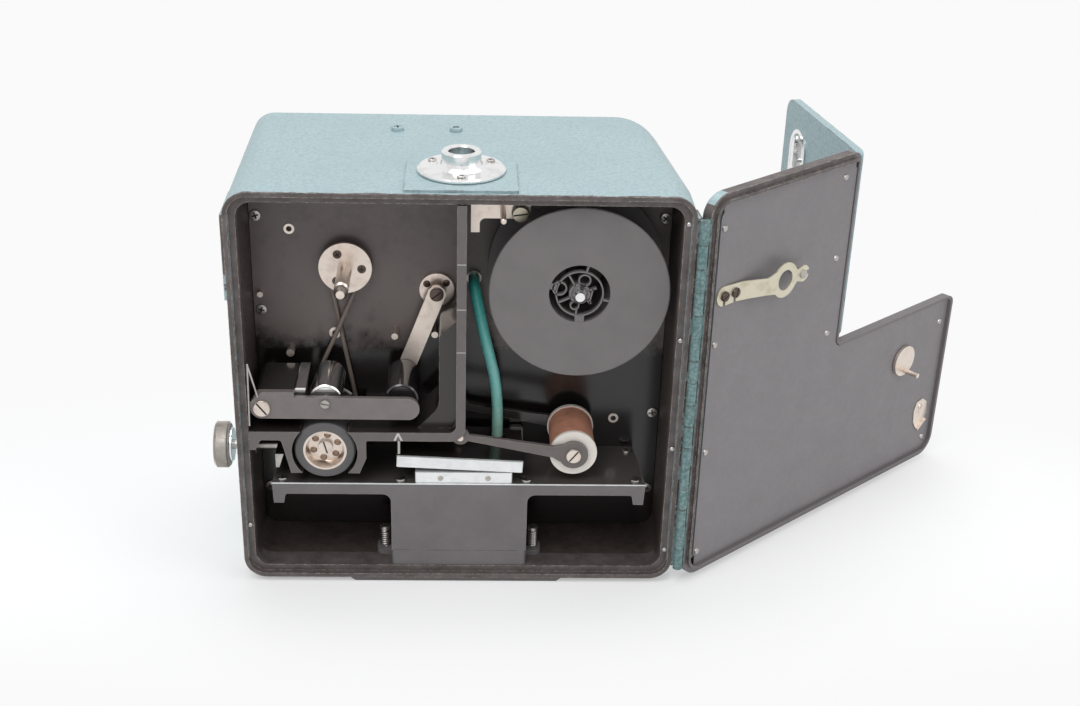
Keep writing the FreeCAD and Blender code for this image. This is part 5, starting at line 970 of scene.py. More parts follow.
class SubAssembly:
    """A group of the camera's nodes and added pieces."""

    finishes: ClassVar[dict[str, Finish]] = {}
    made: ClassVar[dict[str, bpy.types.Material]] = {}

    @classmethod
    def material(cls, finish: Finish) -> bpy.types.Material:
        """The one material of a finish, built when first asked for.

        Args:
            finish: The finish.

        Returns:
            The material.
        """
        if finish.name not in cls.made:
            cls.made[finish.name] = finish.build()
        return cls.made[finish.name]

    def dress(self, nodes: dict[str, Piece]) -> None:
        """Give this group's CAD nodes their finishes.

        Args:
            nodes: The frame's nodes by name.
        """
        for name, finish in self.finishes.items():
            mesh = nodes[name].data
            mesh.materials.clear()
            mesh.materials.append(self.material(finish))
        log.info("%s: %d nodes dressed", type(self).__name__, len(self.finishes))

    def finish(self, piece: Piece, finish: Finish, body: str, slot: str, *replaced: str) -> Piece:
        """Shade a piece, dress it and hang it on its body.

        Args:
            piece: The piece, with its place applied.
            finish: Its finish.
            body: The body that it rides on.
            slot: The record's material slot; not used.
            replaced: The CAD nodes that it stands for.

        Returns:
            The piece.
        """
        Bench.take(piece)
        bpy.ops.object.shade_smooth_by_angle(angle=math.radians(32))
        piece.data.materials.clear()
        piece.data.materials.append(self.material(finish))
        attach(piece, body)
        if replaced:
            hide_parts(*replaced)
        Bench.clear()
        return piece

    def screws_with_dirt(self, head: ScrewHead, name: str, places: list[Seat], finish: Finish, body: str,
                         slot: str, *replaced: str) -> list[Piece]:
        """Heads at several places, with painted shade in their recesses.

        Args:
            head: The head to repeat.
            name: The heads' name.
            places: Place, way it looks and spin of each.
            finish: The heads' finish.
            body: The body that they ride on.
            slot: The record's material slot.
            replaced: The CAD nodes that they stand for.

        Returns:
            The heads and the painted shade in their recesses.
        """
        heads = self.finish(head.set_at(name, places), finish, body, slot, *replaced)
        # The recesses get dark fillings: painted shade.
        painted_shade = self.finish(head.recess_shade(name + "_dirt", places), PAINTED_SHADE, body, "black_plastic")
        return [heads, painted_shade]

    def build(self) -> list[Piece]:
        """Make this group's added pieces; most have none."""
        return []


@dataclass
class Casing(SubAssembly):
    """The cast box and what is fixed to it.

    A row of plate_screws or platform_screws holds the screw's place on its surface and its spin.
    """

    plate_front: float = -20.0
    plate_screws: tuple[Row, ...] = ((-106.4, 193.8, 20), (106.4, 194.7, 50), (-105.8, 140.9, 75),
                                       (106.2, 81.1, 10), (-106, 33, 35), (106, 33, 60))
    platform_top: float = 59.7
    platform_screws: tuple[Row, ...] = ((-94.5, -58.5, 15), (-31.5, -59.2, 40), (36, -59.2, 70),
                                          (94.5, -58.5, 25), (92.5, -26, 55), (-92.5, -26, 5))
    plug_y: float = 34.8
    plug_top: float = 223.0
    plugs: tuple[Spot, ...] = ((-34.8, 10), (-3.3, 48))
    sleeves: tuple[Place, ...] = ((-89.3, -20.1, 186.6), (84.8, -20.1, 77.4), (-67.2, -19.6, 127.4))
    sleeve_radius: float = 3.2
    socket_centre: Spot = (0.0, -35.0)
    socket_ring: float = 17.0
    socket_angles: Row = (-90, 30, 150)
    socket_top: float = 226.8
    foot_outline: tuple[Spot, ...] = ((-60.5, 3.3), (-56.5, 0.05), (53.5, 0.05), (57.5, 3.3))
    foot_depths: Span = (-66.9, -57.0)
    dowel_x: float = 112.2
    dowel_y: float = -63.2
    dowel_radius: float = 1.25
    dowel_heights: Row = (208.0, 145.2, 82.4, 19.8)
    left_dowel_height: float = 34.0
    index_outline: tuple[Spot, ...] = (
        (-34.6, 86.7), (-33.4, 86.7), (-32.1, 89.6), (-30.8, 86.7), (-29.6, 86.7), (-31.6, 91.2), (-32.6, 91.2))
    mark_depth: float = -65.9
    score_heights: Row = (185.9, 161.6, 137.8)
    knob_start: float = -131.4
    knob_centre: Spot = (-41.0, 70.4)
    knob_radius: float = 12.6

    finishes = {"casing": CASE, "casing_hinge": HINGE_TEAL, "top_socket": CHROME, "knife_bush": CHROME,
                "knife_plunger": STEEL, "mechanism_plate": PLATE_PAINT, "shaft_posts": NICKEL,
                "chamber_divider": CAST_GREY, "chamber_screws": NICKEL, "socket_screws": STEEL,
                "top_plugs": TEAL, "knife_knob": WORN_NICKEL}

    def chamber_heads(self) -> list[Piece]:
        """Cross-recess screws of the mechanism plate and the film platform.

        Returns:
            The heads and the painted shade in their recesses.
        """
        plate = [((x, self.plate_front, z), Facing.FRONT, spin) for x, z, spin in self.plate_screws]
        table = [((x, y, self.platform_top), Facing.UP, spin) for x, y, spin in self.platform_screws]
        head = ScrewHead(2.9, 1.0, Drive.CROSS)
        return self.screws_with_dirt(head, "chamber_screw_heads", plate + table, STEEL, "camera",
                                     "steel", "chamber_screws")

    def socket_heads(self) -> list[Piece]:
        """The three cross-recess screws of the socket's flange.

        Returns:
            The heads and the painted shade in their recesses.
        """
        x, y = self.socket_centre
        places = [((*ring_point(x, y, self.socket_ring, a), self.socket_top - 0.1), Facing.UP, a + 35)
                  for a in self.socket_angles]
        return self.screws_with_dirt(ScrewHead(2.2, 0.7, Drive.CROSS), "socket_screw_heads", places, STEEL,
                                     "camera", "steel", "socket_screws")

    def plug_heads(self) -> list[Piece]:
        """The two painted screws in the top.

        Returns:
            The heads and the painted shade in their recesses.
        """
        places = [((x, self.plug_y, self.plug_top), Facing.UP, spin) for x, spin in self.plugs]
        return self.screws_with_dirt(ScrewHead(3.4, 1.9, Drive.CROSS, 0.3), "top_plug_heads", places, TEAL,
                                     "camera", "casing_paint", "top_plugs")

    def plate_sleeves(self) -> list[Piece]:
        """Painted shade in each bore of the plate's two sleeves, and the flat sleeve behind the belt.

        Returns:
            The painted bore shade and the flat sleeve.
        """
        bore_shades = []
        for place in self.sleeves:
            # A dark disc at each sleeve paints the shade inside its bore.
            bore = Bench.turned("sleeve_bore_shades", [(1.5, 0), (1.5, 0.5), (1.2, 0.62)], 24)
            bore_shades.append(Bench.put(bore, place, Facing.FRONT))
        r = self.sleeve_radius
        ring = Bench.turned("flat_sleeve", [(r, 0), (r, 0.09), (r - 0.2, 0.13)], 32)
        Bench.cut(ring, Bench.turned("bore", [(r / 2, -1), (r / 2, 1)], 24))
        x, _, z = self.sleeves[-1]
        Bench.put(ring, (x, self.plate_front, z), Facing.FRONT)
        return [self.finish(Bench.weld("sleeve_bore_shades", bore_shades), PAINTED_SHADE, "camera", "black_plastic"),
                self.finish(ring, NICKEL, "camera", "nickel")]

    def foot_lip(self) -> Piece:
        """The front of the base pad, which shows below the casing's rim.

        Returns:
            The lip.
        """
        lip = Bench.slab("foot_lip", list(self.foot_outline), *self.foot_depths)
        Bench.soften(lip, 0.5, 2)
        return self.finish(lip, FOOT_GREY, "camera", "black_enamel")

    def dowels(self) -> Piece:
        """Bright pin ends in the rim beside the hinge, and one on the left.

        Returns:
            The joined pins.
        """
        r = self.dowel_radius
        first = Bench.turned("rim_dowels", [(r, 0), (r, 2.0), (r - 0.35, 2.3)], 24)
        spots = [(self.dowel_x, z) for z in self.dowel_heights] + [(-self.dowel_x, self.left_dowel_height)]
        pins = [first] + [Bench.twin(first) for _ in spots[1:]]
        for pin, (x, z) in zip(pins, spots):
            Bench.put(pin, (x, self.dowel_y, z), Facing.FRONT)
        return self.finish(Bench.weld("rim_dowels", pins), STEEL, "camera", "steel")

    def knob(self) -> list[Piece]:
        """The knurled knob of the film knife and its bright collar.

        Returns:
            The knob and the collar.
        """
        r = self.knob_radius
        knob = Bench.turned("knurled_knob", [(4.0, 1.2), (r - 3.4, 1.2), (r - 3.0, 0), (r - 1.2, 0),
                                             (r, 1.1), (r, 6.9), (r - 1.2, 8.0), (3.0, 8.0)], 120)
        rib = 0
        for face in knob.data.polygons:
            out = math.hypot(face.center.x, face.center.y) > (r - 0.6) * MM
            around = out and abs(face.normal.z) < 0.05
            rib += around
            face.select = around and rib % 2 == 0
        Bench.take(knob)
        bpy.ops.object.mode_set(mode="EDIT")
        bpy.ops.mesh.select_mode(type="FACE")
        bpy.ops.mesh.inset(use_individual=True, thickness=0.1 * MM, depth=-0.35 * MM)
        bpy.ops.object.mode_set(mode="OBJECT")
        y, z = self.knob_centre
        Bench.put(knob, (self.knob_start, y, z), Facing.RIGHT)
        collar = Bench.turned("knob_collar", [(9.2, 7.9), (9.2, 9.2), (8.8, 9.6), (3.0, 9.6)], 64)
        Bench.put(collar, (self.knob_start, y, z), Facing.RIGHT)
        return [self.finish(knob, WORN_NICKEL, "knife", "steel", "knife_knob"),
                self.finish(collar, CHROME, "knife", "chrome")]

    def divider_marks(self) -> Piece:
        """The small painted index on the shelf's edge and the score lines on the wall's edge.

        Returns:
            The joined marks.
        """
        back = self.mark_depth
        marks = [Bench.slab("divider_marks", list(self.index_outline), back - 0.18, back)]
        for z in self.score_heights:
            marks.append(Bench.bar("score", (-1.7, back - 0.16, z - 0.18), (2.9, back, z + 0.18)))
        return self.finish(Bench.weld("divider_marks", marks), WHITE_MARK, "camera", "aluminium")

    def build(self) -> list[Piece]:
        """Make the casing's screws, pins, knob and marks."""
        return [*self.chamber_heads(), *self.socket_heads(), *self.plug_heads(), *self.plate_sleeves(),
                self.foot_lip(), self.dowels(), *self.knob(), self.divider_marks()]


@dataclass
class Doors(SubAssembly):
    """The main door with its fittings and the small take-up door."""

    liner_depth: float = -69.0
    keeper_height: float = 167.5
    keeper_back: float = 6.0
    keeper_screws: Row = (101.2, 93.0)
    eye_x: float = 60.3
    eye_radius: float = 5.6
    keeper_ring: float = 9.6
    strap_end: float = 101.5
    strap_round: float = 5.4
    strap_thick: float = 1.0
    step_start: float = 90.0
    step_length: float = 17.0
    neck_x: float = 50.5
    neck_half: float = 3.2
    fork_x: float = 45.6
    fork_round: float = 4.6
    lip_inner: float = -111.4
    lip_corner: float = 7.4
    clip_outline: tuple[Spot, ...] = (
        (-99.6, 44.5), (-104.5, 41.0), (-106.3, 33.0), (-104.6, 29.0), (-97.0, 23.4), (-92.6, 30.0),
        (-91.8, 38.0), (-94.0, 43.4))
    clip_lip: tuple[Spot, ...] = ((-104.6, 29.0), (-97.0, 23.4), (-96.4, 24.6), (-103.4, 29.8))

    finishes = {"main_door": DOOR, "door_liner": LINER, "door_fixings": STEEL,
                "door_hinge_leaf": HINGE_TEAL, "reel_keeper": BRASS, "small_door_hinge": TEAL,
                "film_advance": NICKEL, "small_door": TEAL, "pull_cup": CHROME, "turn_bar": CHROME}

    def keeper(self) -> Piece:
        """The keeper: a forked strap with round ends and a ring, stepped up from the liner.

        Returns:
            The keeper.
        """
        z, neck = self.keeper_height, self.neck_half
        left = self.arc(self.strap_end, z, self.strap_round, -90, 90)
        right = self.arc(self.fork_x, z, self.fork_round, 90, 270)
        upper = self.arc(self.eye_x, z, self.keeper_ring, 40, 150)
        lower = self.arc(self.eye_x, z, self.keeper_ring, 210, 320)
        shape = [*left, (74, z + 4.4), (70, z + 5.6), *upper, (self.neck_x, z + neck), *right,
                 (self.neck_x, z - neck), *lower, (70, z - 5.6), (74, z - 5.0)]
        plate = Bench.slab("keeper_plate", shape, 0.0, self.strap_thick)
        eye = Bench.turned("eye", [(self.eye_radius, -3), (self.eye_radius, 3)], 48)
        tools = [Bench.put(eye, (self.eye_x, 0, z), Facing.BACK)]
        for x in self.keeper_screws:
            tools.append(Bench.bar("fork", (x - 0.9, -2, z - 8), (x + 0.9, 3, z - 1.2)))
        tools.append(Bench.bar("fork", (38, -2, z - 1.3), (self.fork_x, 3, z + 1.3)))
        Bench.cut(plate, *tools)
        Bench.apply(plate, "TRIANGULATE")
        Bench.apply(plate, "SUBSURF", subdivision_type="SIMPLE", levels=1, render_levels=1)
        for vertex in plate.data.vertices:
            rise = min(1.0, max(0.0, (self.step_start - vertex.co.x / MM) / self.step_length))
            vertex.co.y += (self.liner_depth + self.keeper_back * rise) * MM
        Bench.soften(plate, 0.15, 1)
        Bench.on_door(plate)
        return self.finish(plate, BRASS, "door", "brass", "reel_keeper")

    @staticmethod
    def arc(x: float, z: float, radius: float, start: float, end: float) -> list[Spot]:
        """Points of an arc in X and Z.

        Args:
            x: The middle across.
            z: The middle's height.
            radius: The arc's radius.
            start: Where it starts, with +X at 0 degrees.
            end: Where it ends.

        Returns:
            The points, at most 12 degrees apart.
        """
        steps = max(4, int(abs(end - start) / 12))
        return [ring_point(x, z, radius, start + (end - start) * k / steps) for k in range(steps + 1)]

    def keeper_heads(self) -> Piece:
        """Dark slotted screws of the keeper.

        Returns:
            The joined heads.
        """
        seat = self.liner_depth + self.strap_thick
        places = [((x, seat, self.keeper_height), Facing.BACK, spin)
                  for x, spin in zip(self.keeper_screws, (30, 75))]
        heads = ScrewHead(2.7, 1.4, Drive.SLOT, 0.2).set_at("keeper_screw_heads", places, door_place())
        return self.finish(heads, BLUED, "door", "steel")

    def aprons(self) -> list[Piece]:
        """The liner's border out to the door's lip, and the teal strip by the hinge.

        Returns:
            The border and the strip.
        """
        d = self.liner_depth
        corner = self.arc(self.lip_inner + self.lip_corner, 15.0, self.lip_corner, 270, 180)
        inner = [(-106.5, 108.0), (-106.5, 12.6), (106.0, 12.6)]
        low = [(106.0, 7.6), *corner, (self.lip_inner, 108.0), *inner]
        high = [(0.5, 213.5), (0.5, 218.4), (106.0, 218.4), (106.0, 213.5)]
        beside = [(106.2, 12.0), (111.3, 15.0), (111.3, 211.0), (106.2, 214.0)]
        border = Bench.slab("liner_border", low, d - 0.58, d - 0.02)
        top = Bench.slab("liner_border_top", high, d - 0.6, d - 0.02)
        strip = Bench.slab("hinge_channel", beside, d - 2.2, d - 0.9)
        Bench.on_door(border, top, strip)
        return [self.finish(Bench.weld("liner_border", [border, top]), LINER, "door", "liner_grey"),
                self.finish(strip, HINGE_TEAL, "door", "casing_paint")]

    def clip(self) -> Piece:
        """The leaf clip by the free edge, with its screw.

        Returns:
            The clip.
        """
        d = self.liner_depth
        leaf = Bench.slab("liner_clip", list(self.clip_outline), d + 0.02, d + 0.6)
        Bench.soften(leaf, 0.2, 2)
        rib = Bench.slab("clip_lip", list(self.clip_lip), d + 0.3, d + 1.9)
        seat = [((-97.2, d + 0.6, 40.0), Facing.BACK, 60)]
        head = ScrewHead(1.9, 0.8).set_at("clip_screw", seat, door_place())
        return self.finish(Bench.weld("liner_clip", [*Bench.on_door(leaf, rib), head]), NICKEL, "door",
                           "nickel")

    def build(self) -> list[Piece]:
        """Make the keeper, its screws, the liner's border and the clip."""
        return [self.keeper(), self.keeper_heads(), *self.aprons(), self.clip()]


@dataclass
class Transport(SubAssembly):
    """Rollers, arms, belt and spindles of the film path.

    A row of loops holds a hub loop's angle, reach and outer radius. A row of ribs holds a hub rib's
    angle, its start and end along the radius, and half its width.
    """

    spool: Spot = (60.3, 167.5)
    takeup: Spot = (-60.3, 167.5)
    disc_front: float = -26.9
    disc_ring: float = 8.6
    disc_angles: Row = (117, 237, 357)
    tension_pivot: Spot = (-12.6, 154.0)
    bearing_ring: float = 6.3
    bearing_angles: Row = (38, 148)
    reel_front: float = -58.0
    reel_radius: float = 46.0
    reel_width: float = 37.0
    reel_core: float = 17.0
    hub_bore: float = 15.6
    hub_recess: float = 0.3
    hub_deep: float = 3.0
    loops: tuple[Row, ...] = ((165, 10.6, 3.8), (72, 7.6, 3.3), (250, 6.9, 2.5))
    ribs: tuple[Row, ...] = (
        (75, 12, 15.9, 0.5), (165, 12, 15.9, 1.6), (271.5, 12, 15.9, 2.4), (345, 12, 15.9, 0.5),
        (20, 4.8, 9.0, 0.45), (318, 4.8, 8.0, 0.45), (205, 4.8, 11.8, 0.45), (120, 4.8, 11.8, 0.45),
        (262, 8.5, 11.8, 0.45))

    finishes = {"takeup_drive": NICKEL, "drive_belt": BELT, "metering_tyre": RUBBER,
                "metering_hub": NICKEL, "metering_drive": STEEL, "guide_arm": GUIDE_GREY,
                "film_guides": CHROME, "guide_roller": CHROME, "arm_spring": STEEL,
                "tension_arm": NICKEL, "tension_pins": BLUED, "tension_roller": GLOSS_BLACK,
                "tension_bearing": NICKEL, "dancer_arms": DANCER_GREY, "dancer_axle": STEEL,
                "dancer_roller": COPPER, "dancer_discs": CREAM, "supply_reel": REEL_GREY,
                "supply_spindle": CHROME, "feeler_mount": NICKEL, "supply_feeler": ARM_GREY,
                "vacuum_pipe": PIPE_TEAL, "pipe_fittings": STEEL}

    def face_screw(self, name: str, place: Place, radius: float, spin: float, body: str,
                   finish: Finish = NICKEL) -> list[Piece]:
        """One slotted head that looks to the front.

        Args:
            name: The piece's name.
            place: The seat's middle, in millimetres.
            radius: The head's radius.
            spin: The slot's slope in degrees.
            body: The body that it rides on.
            finish: The head's finish.

        Returns:
            The head and the painted shade in its slot.
        """
        head = ScrewHead(radius, 0.55, Drive.SLOT, 0.12, 40)
        return self.screws_with_dirt(head, name, [(place, Facing.FRONT, spin)], finish, body, "nickel")

    def screws(self) -> list[Piece]:
        """The slotted screws of the arms and rollers, and the flanges' dark cross-recess screws.

        Returns:
            The heads and the painted shade in their recesses.
        """
        slotted = (("metering_screw", (-70.7, -60.25, 79.4), 3.85, -75, "metering", NICKEL),
                   ("guide_pivot_screw", (-102.3, -66.15, 104.9), 4.35, -52, "camera", NICKEL),
                   ("guide_axle_screw", (-69.6, -65.75, 107.8), 2.5, -12, "guide", STEEL),
                   ("tension_screw", (-12.6, -29.55, 154.0), 3.65, 40, "tension", BLUED),
                   ("dancer_screw", (60.4, -64.05, 77.0), 3.95, 52, "dancer", NICKEL),
                   ("feeler_screw", (29.8, -46.95, 205.6), 3.95, 8, "camera", BRASS))
        made = []
        for name, place, radius, spin, body, finish in slotted:
            made += self.face_screw(name, place, radius, spin, body, finish)
        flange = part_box("tension_bearing")[0][1] / MM
        pair = ring_seats(self.tension_pivot, flange, self.bearing_ring, self.bearing_angles)
        made += self.screws_with_dirt(ScrewHead(1.9, 0.6, Drive.CROSS), "bearing_screws", pair, BLUED,
                                      "camera", "steel")
        sunk = ring_seats(self.takeup, self.disc_front, self.disc_ring, self.disc_angles)
        return made + self.screws_with_dirt(ScrewHead(2.3, 0.4, Drive.CROSS), "disc_screws", sunk, BLUED,
                                            "takeup", "steel")

    def band(self, name: str, place: Spot, outer: float, inner: float, sides: int = 40,
             deep: float | None = None) -> Piece:
        """A flat ring in the reel's hub, from just behind its face.

        Args:
            name: The ring's name.
            place: Its middle in X and Z.
            outer: Its outer radius.
            inner: Its inner radius.
            sides: Sides of the round.
            deep: How far back it reaches, where that isn't as deep as the hub.

        Returns:
            The ring.
        """
        deep = deep or self.hub_deep
        ring = Bench.turned(name, [(outer, self.hub_recess), (outer, deep)], sides)
        Bench.cut(ring, Bench.turned("bore", [(inner, -1), (inner, deep + 1)], sides))
        return Bench.put(ring, (place[0], self.reel_front, place[1]), Facing.BACK)

    def reel(self) -> Piece:
        """The reel: two flanges on a core, and the webbed hub of ribs and loops.

        Returns:
            The reel.
        """
        x, z = self.spool
        r, w, core = self.reel_radius, self.reel_width, self.reel_core
        drum = Bench.turned("film_reel", [(r - 0.5, 0), (r, 0.4), (r, 1.2), (core, 1.2), (core, w - 1.2),
                                          (r, w - 1.2), (r, w - 0.4), (r - 0.5, w)], 128)
        Bench.cut(drum, Bench.turned("bore", [(self.hub_bore, -1), (self.hub_bore, w + 1)], 96))
        Bench.put(drum, (x, self.reel_front, z), Facing.BACK)
        parts = [drum, self.band("hub_ring", self.spool, 12.3, 11.5, 72),
                 self.band("hub_tube", self.spool, 5.4, 4.15, 48, 33)]
        for angle, reach, outer in self.loops:
            parts.append(self.band("hub_loop", ring_point(x, z, reach, angle), outer, outer - 0.75))
        for angle, start, end, half in self.ribs:
            rib = Bench.bar("hub_rib", (start, -half, self.hub_recess), (end, half, self.hub_deep))
            parts.append(Bench.put(rib, (x, self.reel_front, z), Facing.BACK, -angle))
        hook = Bench.bar("hub_rib", (5.6, -4.2, self.hub_recess), (6.4, 4.2, self.hub_deep))
        parts.append(Bench.put(hook, (x, self.reel_front, z), Facing.BACK, 12))
        return self.finish(Bench.weld("film_reel", parts), REEL_GREY, "reel", "reel_plastic", "supply_reel")

    def build(self) -> list[Piece]:
        """Make the screws and the reel."""
        return [*self.screws(), self.reel()]


@dataclass
class Optics(SubAssembly):
    """Platform, gate, lens block, lens and the hidden drive.

    A row of track_screws holds the screw's place on the track's face and its spin.
    """

    stud_x: float = 40.6
    stud_y: float = -48.0
    coil_low: float = 12.0
    coil_turns: int = 7
    coil_pitch: float = 1.35
    coil_radius: float = 2.35
    wire: float = 0.5
    table_half: float = 99.5
    table_top: float = 59.7
    face: float = -64.06
    flange_low: float = 53.1
    hook_low: float = 47.6
    fillet: float = 4.5
    block_half: float = 36.5
    block_low: float = 18.25
    track_face: float = -62.98
    track_screws: tuple[Row, ...] = ((-10.0, 62.6, 15), (15.3, 62.6, 60))

    finishes = {"film_platform": TABLE_GREY, "gate_track": ALUMINIUM, "gate_stand": STEEL,
                "gate_pins": STEEL, "pressure_plate": SHOE_METAL, "lens_housing": BLOCK_GREY,
                "lens_base": BLOCK_GREY, "sprung_studs": STEEL, "lens_tube": BLACK, "lens_glass": GLASS,
                "drive_motor": BLACK, "motor_mount": STEEL, "motor_drive": STEEL}

    def front_face(self) -> Piece:
        """The T-shaped painted front that joins the platform's flange and the lens block.

        Returns:
            The front.
        """
        top, flange, hook = self.table_top - 0.35, self.flange_low, self.hook_low
        half, b, r = self.table_half, self.block_half, self.fillet
        fillet = [ring_point(b + r, flange - r, r, 90 + a) for a in range(0, 91, 15)]
        hooked = [(half, top), (half - 0.6, hook), (half - 6, hook), (half - 7, flange)]
        right = [*hooked, *fillet, (b, self.block_low)]
        shape = right + [(-x, z) for x, z in reversed(right)]
        plate = Bench.slab("block_front", shape, self.face, self.face + 0.3)
        return self.finish(plate, BLOCK_GREY, "camera", "black_enamel")

    def bright_edge(self) -> Piece:
        """The worn bright front edge of the platform.

        Returns:
            The strip.
        """
        strip = Bench.bar("platform_edge", (-self.table_half, self.face - 0.05, self.table_top - 0.5),
                          (self.table_half, self.face + 0.7, self.table_top + 0.04))
        Bench.soften(strip, 0.12, 2)
        return self.finish(strip, ALUMINIUM, "camera", "aluminium")

    def coils(self) -> Piece:
        """The two studs with their coil springs, nuts and heads.

        Returns:
            The joined studs.
        """
        Bench.clear()
        bpy.ops.mesh.primitive_circle_add(vertices=10, radius=self.wire * MM, fill_type="NOTHING",
                                          location=(self.coil_radius * MM, 0, 0),
                                          rotation=(math.radians(90), 0, 0))
        coil = bpy.context.active_object
        bpy.ops.object.transform_apply(location=True, rotation=True, scale=True)
        Bench.apply(coil, "SCREW", axis="Z", angle=math.radians(360), screw_offset=self.coil_pitch * MM,
                    iterations=self.coil_turns, steps=28, render_steps=28, use_merge_vertices=True,
                    merge_threshold=1e-6)
        Bench.take(coil)
        bpy.ops.object.mode_set(mode="EDIT")
        bpy.ops.mesh.select_all(action="SELECT")
        bpy.ops.mesh.fill_holes(sides=12)
        Bench.close(coil)
        stud = Bench.turned("stud", [(3.6, -3.0), (3.6, -1.2), (1.7, -1.2), (1.7, 10.2), (2.9, 10.2),
                                     (2.9, 11.6), (2.4, 12.0)], 32)
        first = Bench.weld("stud_coils", [coil, stud])
        pair = [first, Bench.twin(first)]
        for piece, side in zip(pair, (-1, 1)):
            Bench.put(piece, (side * self.stud_x, self.stud_y, self.coil_low), spin=90 * side)
        return self.finish(Bench.weld("stud_coils", pair), STEEL, "camera", "steel", "sprung_studs")

    def track_heads(self) -> Piece:
        """Two small screws in the front of the film track.

        Returns:
            The joined heads.
        """
        places = [((x, self.track_face, z), Facing.FRONT, spin) for x, z, spin in self.track_screws]
        heads = ScrewHead(1.5, 0.3, Drive.SLOT, 0.05, 24).set_at("track_screw_heads", places)
        return self.finish(heads, STEEL, "camera", "steel")

    def build(self) -> list[Piece]:
        """Make the painted front, bright edge, coils and track screws."""
        return [self.front_face(), self.bright_edge(), self.coils(), self.track_heads()]


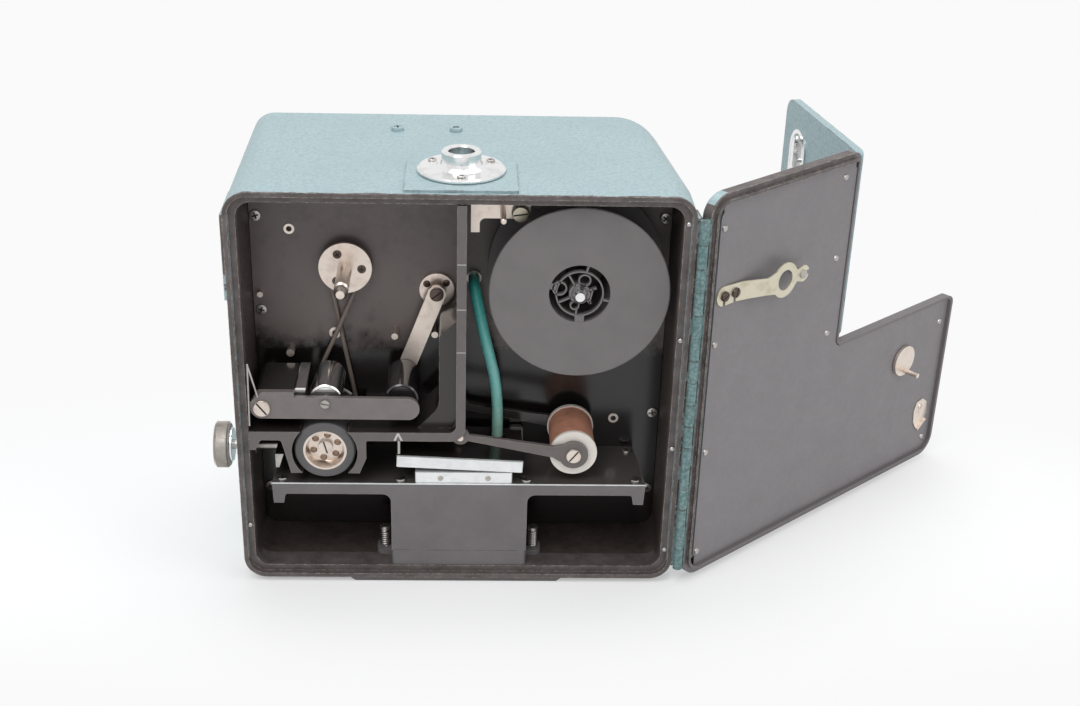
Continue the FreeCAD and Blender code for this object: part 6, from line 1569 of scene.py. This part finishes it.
@dataclass
class Studio:
    """Floor, light and the camera at the photograph's viewing angle."""

    focal_px: float = 1583.17
    frame_px: tuple[int, int] = (1080, 706)
    axis_px: Spot = (511.09, 415.14)
    eye: Place = (2.411, -795.694, 482.131)
    pitch: float = 27.482
    yaw: float = 1.908
    roll: float = 1.333
    sensor: float = 36.0
    floor_size: float = 6.0
    near: float = 0.02
    backdrop: Colour = (0.96, 0.96, 0.96)
    white: float = 0.955
    shadow_oval: Place = (0.4, 1.2, 1)
    shadow_reach: Span = (0.12, 0.21)
    shadow_loss: float = 0.4
    sky: Colour = (0.95, 0.97, 1.0)
    sky_strength: float = 0.45
    aim: Place = (0.05, 0.0, 0.1)
    lamps: tuple[tuple[str, Place, float, float], ...] = (
        ("key", (-0.5, -0.9, 1.5), 1.0, 13.5), ("fill", (1.2, -0.6, 1.0), 1.0, 5),
        ("top", (0.1, 0.5, 1.6), 1.2, 10))

    def camera(self) -> Piece:
        """Place the camera and make it the scene's.

        Returns:
            The camera.
        """
        pitch, yaw, roll = (math.radians(a) for a in (self.pitch, self.yaw, self.roll))
        ahead = Vector((math.sin(yaw) * math.cos(pitch), math.cos(yaw) * math.cos(pitch), -math.sin(pitch)))
        level = Vector((math.cos(yaw), -math.sin(yaw), 0))
        upward = level.cross(ahead)
        right = level * math.cos(roll) + upward * math.sin(roll)
        up = upward * math.cos(roll) - level * math.sin(roll)
        data = bpy.data.cameras.new("photo_camera")
        data.sensor_fit = "HORIZONTAL"
        data.sensor_width = self.sensor
        data.lens = self.focal_px / self.frame_px[0] * self.sensor
        data.shift_x = (self.frame_px[0] / 2 - self.axis_px[0]) / self.frame_px[0]
        data.shift_y = (self.axis_px[1] - self.frame_px[1] / 2) / self.frame_px[0]
        data.clip_start = self.near
        camera = bpy.data.objects.new("photo_camera", data)
        bpy.context.scene.collection.objects.link(camera)
        turn = Matrix((right, up, -ahead)).transposed().to_4x4()
        camera.matrix_world = Matrix.Translation(Vector(self.eye) * MM) @ turn
        bpy.context.scene.camera = camera
        return camera

    def floor(self) -> Piece:
        """Lay a pale floor that looks white to the camera and keeps its shadow.

        Returns:
            The floor.
        """
        Bench.clear()
        bpy.ops.mesh.primitive_plane_add(size=self.floor_size, location=(0, 0, 0))
        floor = bpy.context.active_object
        floor.name = "floor"
        g = Graph("floor")
        g.set(Base_Color=self.backdrop, Roughness=0.9)
        white = g.node("ShaderNodeEmission", {"Color": (1, 1, 1), "Strength": self.white})
        away = g.node("ShaderNodeVectorMath", {0: g.mapped(self.shadow_oval)}, operation="LENGTH")
        share = g.span(away.outputs["Value"], *self.shadow_reach, self.shadow_loss, 1.0)
        blend = g.node("ShaderNodeMixShader", {
            "Fac": g.all_of(g.seen_plainly(), share), 1: g.shader.outputs["BSDF"],
            2: white.outputs["Emission"]})
        g.link(blend.outputs["Shader"], g.tree.nodes["Material Output"].inputs["Surface"])
        floor.data.materials.append(g.material)
        return floor

    def world(self) -> None:
        """Light the scene evenly, with a white background for the camera."""
        world = bpy.data.worlds.new("studio")
        bpy.context.scene.world = world
        world.use_nodes = True
        world.node_tree.nodes.clear()
        g = Nodes(world.node_tree)
        light = g.node("ShaderNodeBackground", {"Color": self.sky, "Strength": self.sky_strength})
        white = g.node("ShaderNodeBackground", {"Color": (1, 1, 1), "Strength": self.white})
        chosen = g.node("ShaderNodeMixShader", {
            "Fac": g.seen_plainly(), 1: light.outputs["Background"], 2: white.outputs["Background"]})
        g.node("ShaderNodeOutputWorld", {"Surface": chosen.outputs["Shader"]})

    def lamp(self, name: str, place: Place, size: float, power: float) -> Piece:
        """Hang one square soft lamp that looks at the camera body.

        Args:
            name: The lamp's name.
            place: Where it hangs, in metres.
            size: Its edge, in metres.
            power: Its power in watts.

        Returns:
            The lamp.
        """
        data = bpy.data.lights.new(name, "AREA")
        data.shape = "SQUARE"
        data.size = size
        data.energy = power
        lamp = bpy.data.objects.new(name, data)
        bpy.context.scene.collection.objects.link(lamp)
        lamp.location = place
        aim = Vector(self.aim) - Vector(place)
        lamp.rotation_euler = aim.to_track_quat("-Z", "Y").to_euler()
        return lamp

    def build(self) -> None:
        """Set up the camera, the floor and the lights, with plain display colours."""
        self.camera()
        self.floor()
        self.world()
        for name, place, size, power in self.lamps:
            self.lamp(name, place, size, power)
        bpy.context.scene.view_settings.view_transform = "Standard"


def plain(box: tuple) -> list:
    """A box as plain lists of numbers."""
    return [list(map(float, corner)) for corner in box]


def main() -> None:
    """Load the frame, dress it, add the pieces and report each."""
    logging.basicConfig(level=logging.INFO, format="%(message)s")
    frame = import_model()
    Studio().build()
    for group in (Casing(), Doors(), Transport(), Optics()):
        group.dress(frame["nodes"])
        for piece in group.build():
            log.info("piece %s", piece.name)


if __name__ == "__main__":
    main()
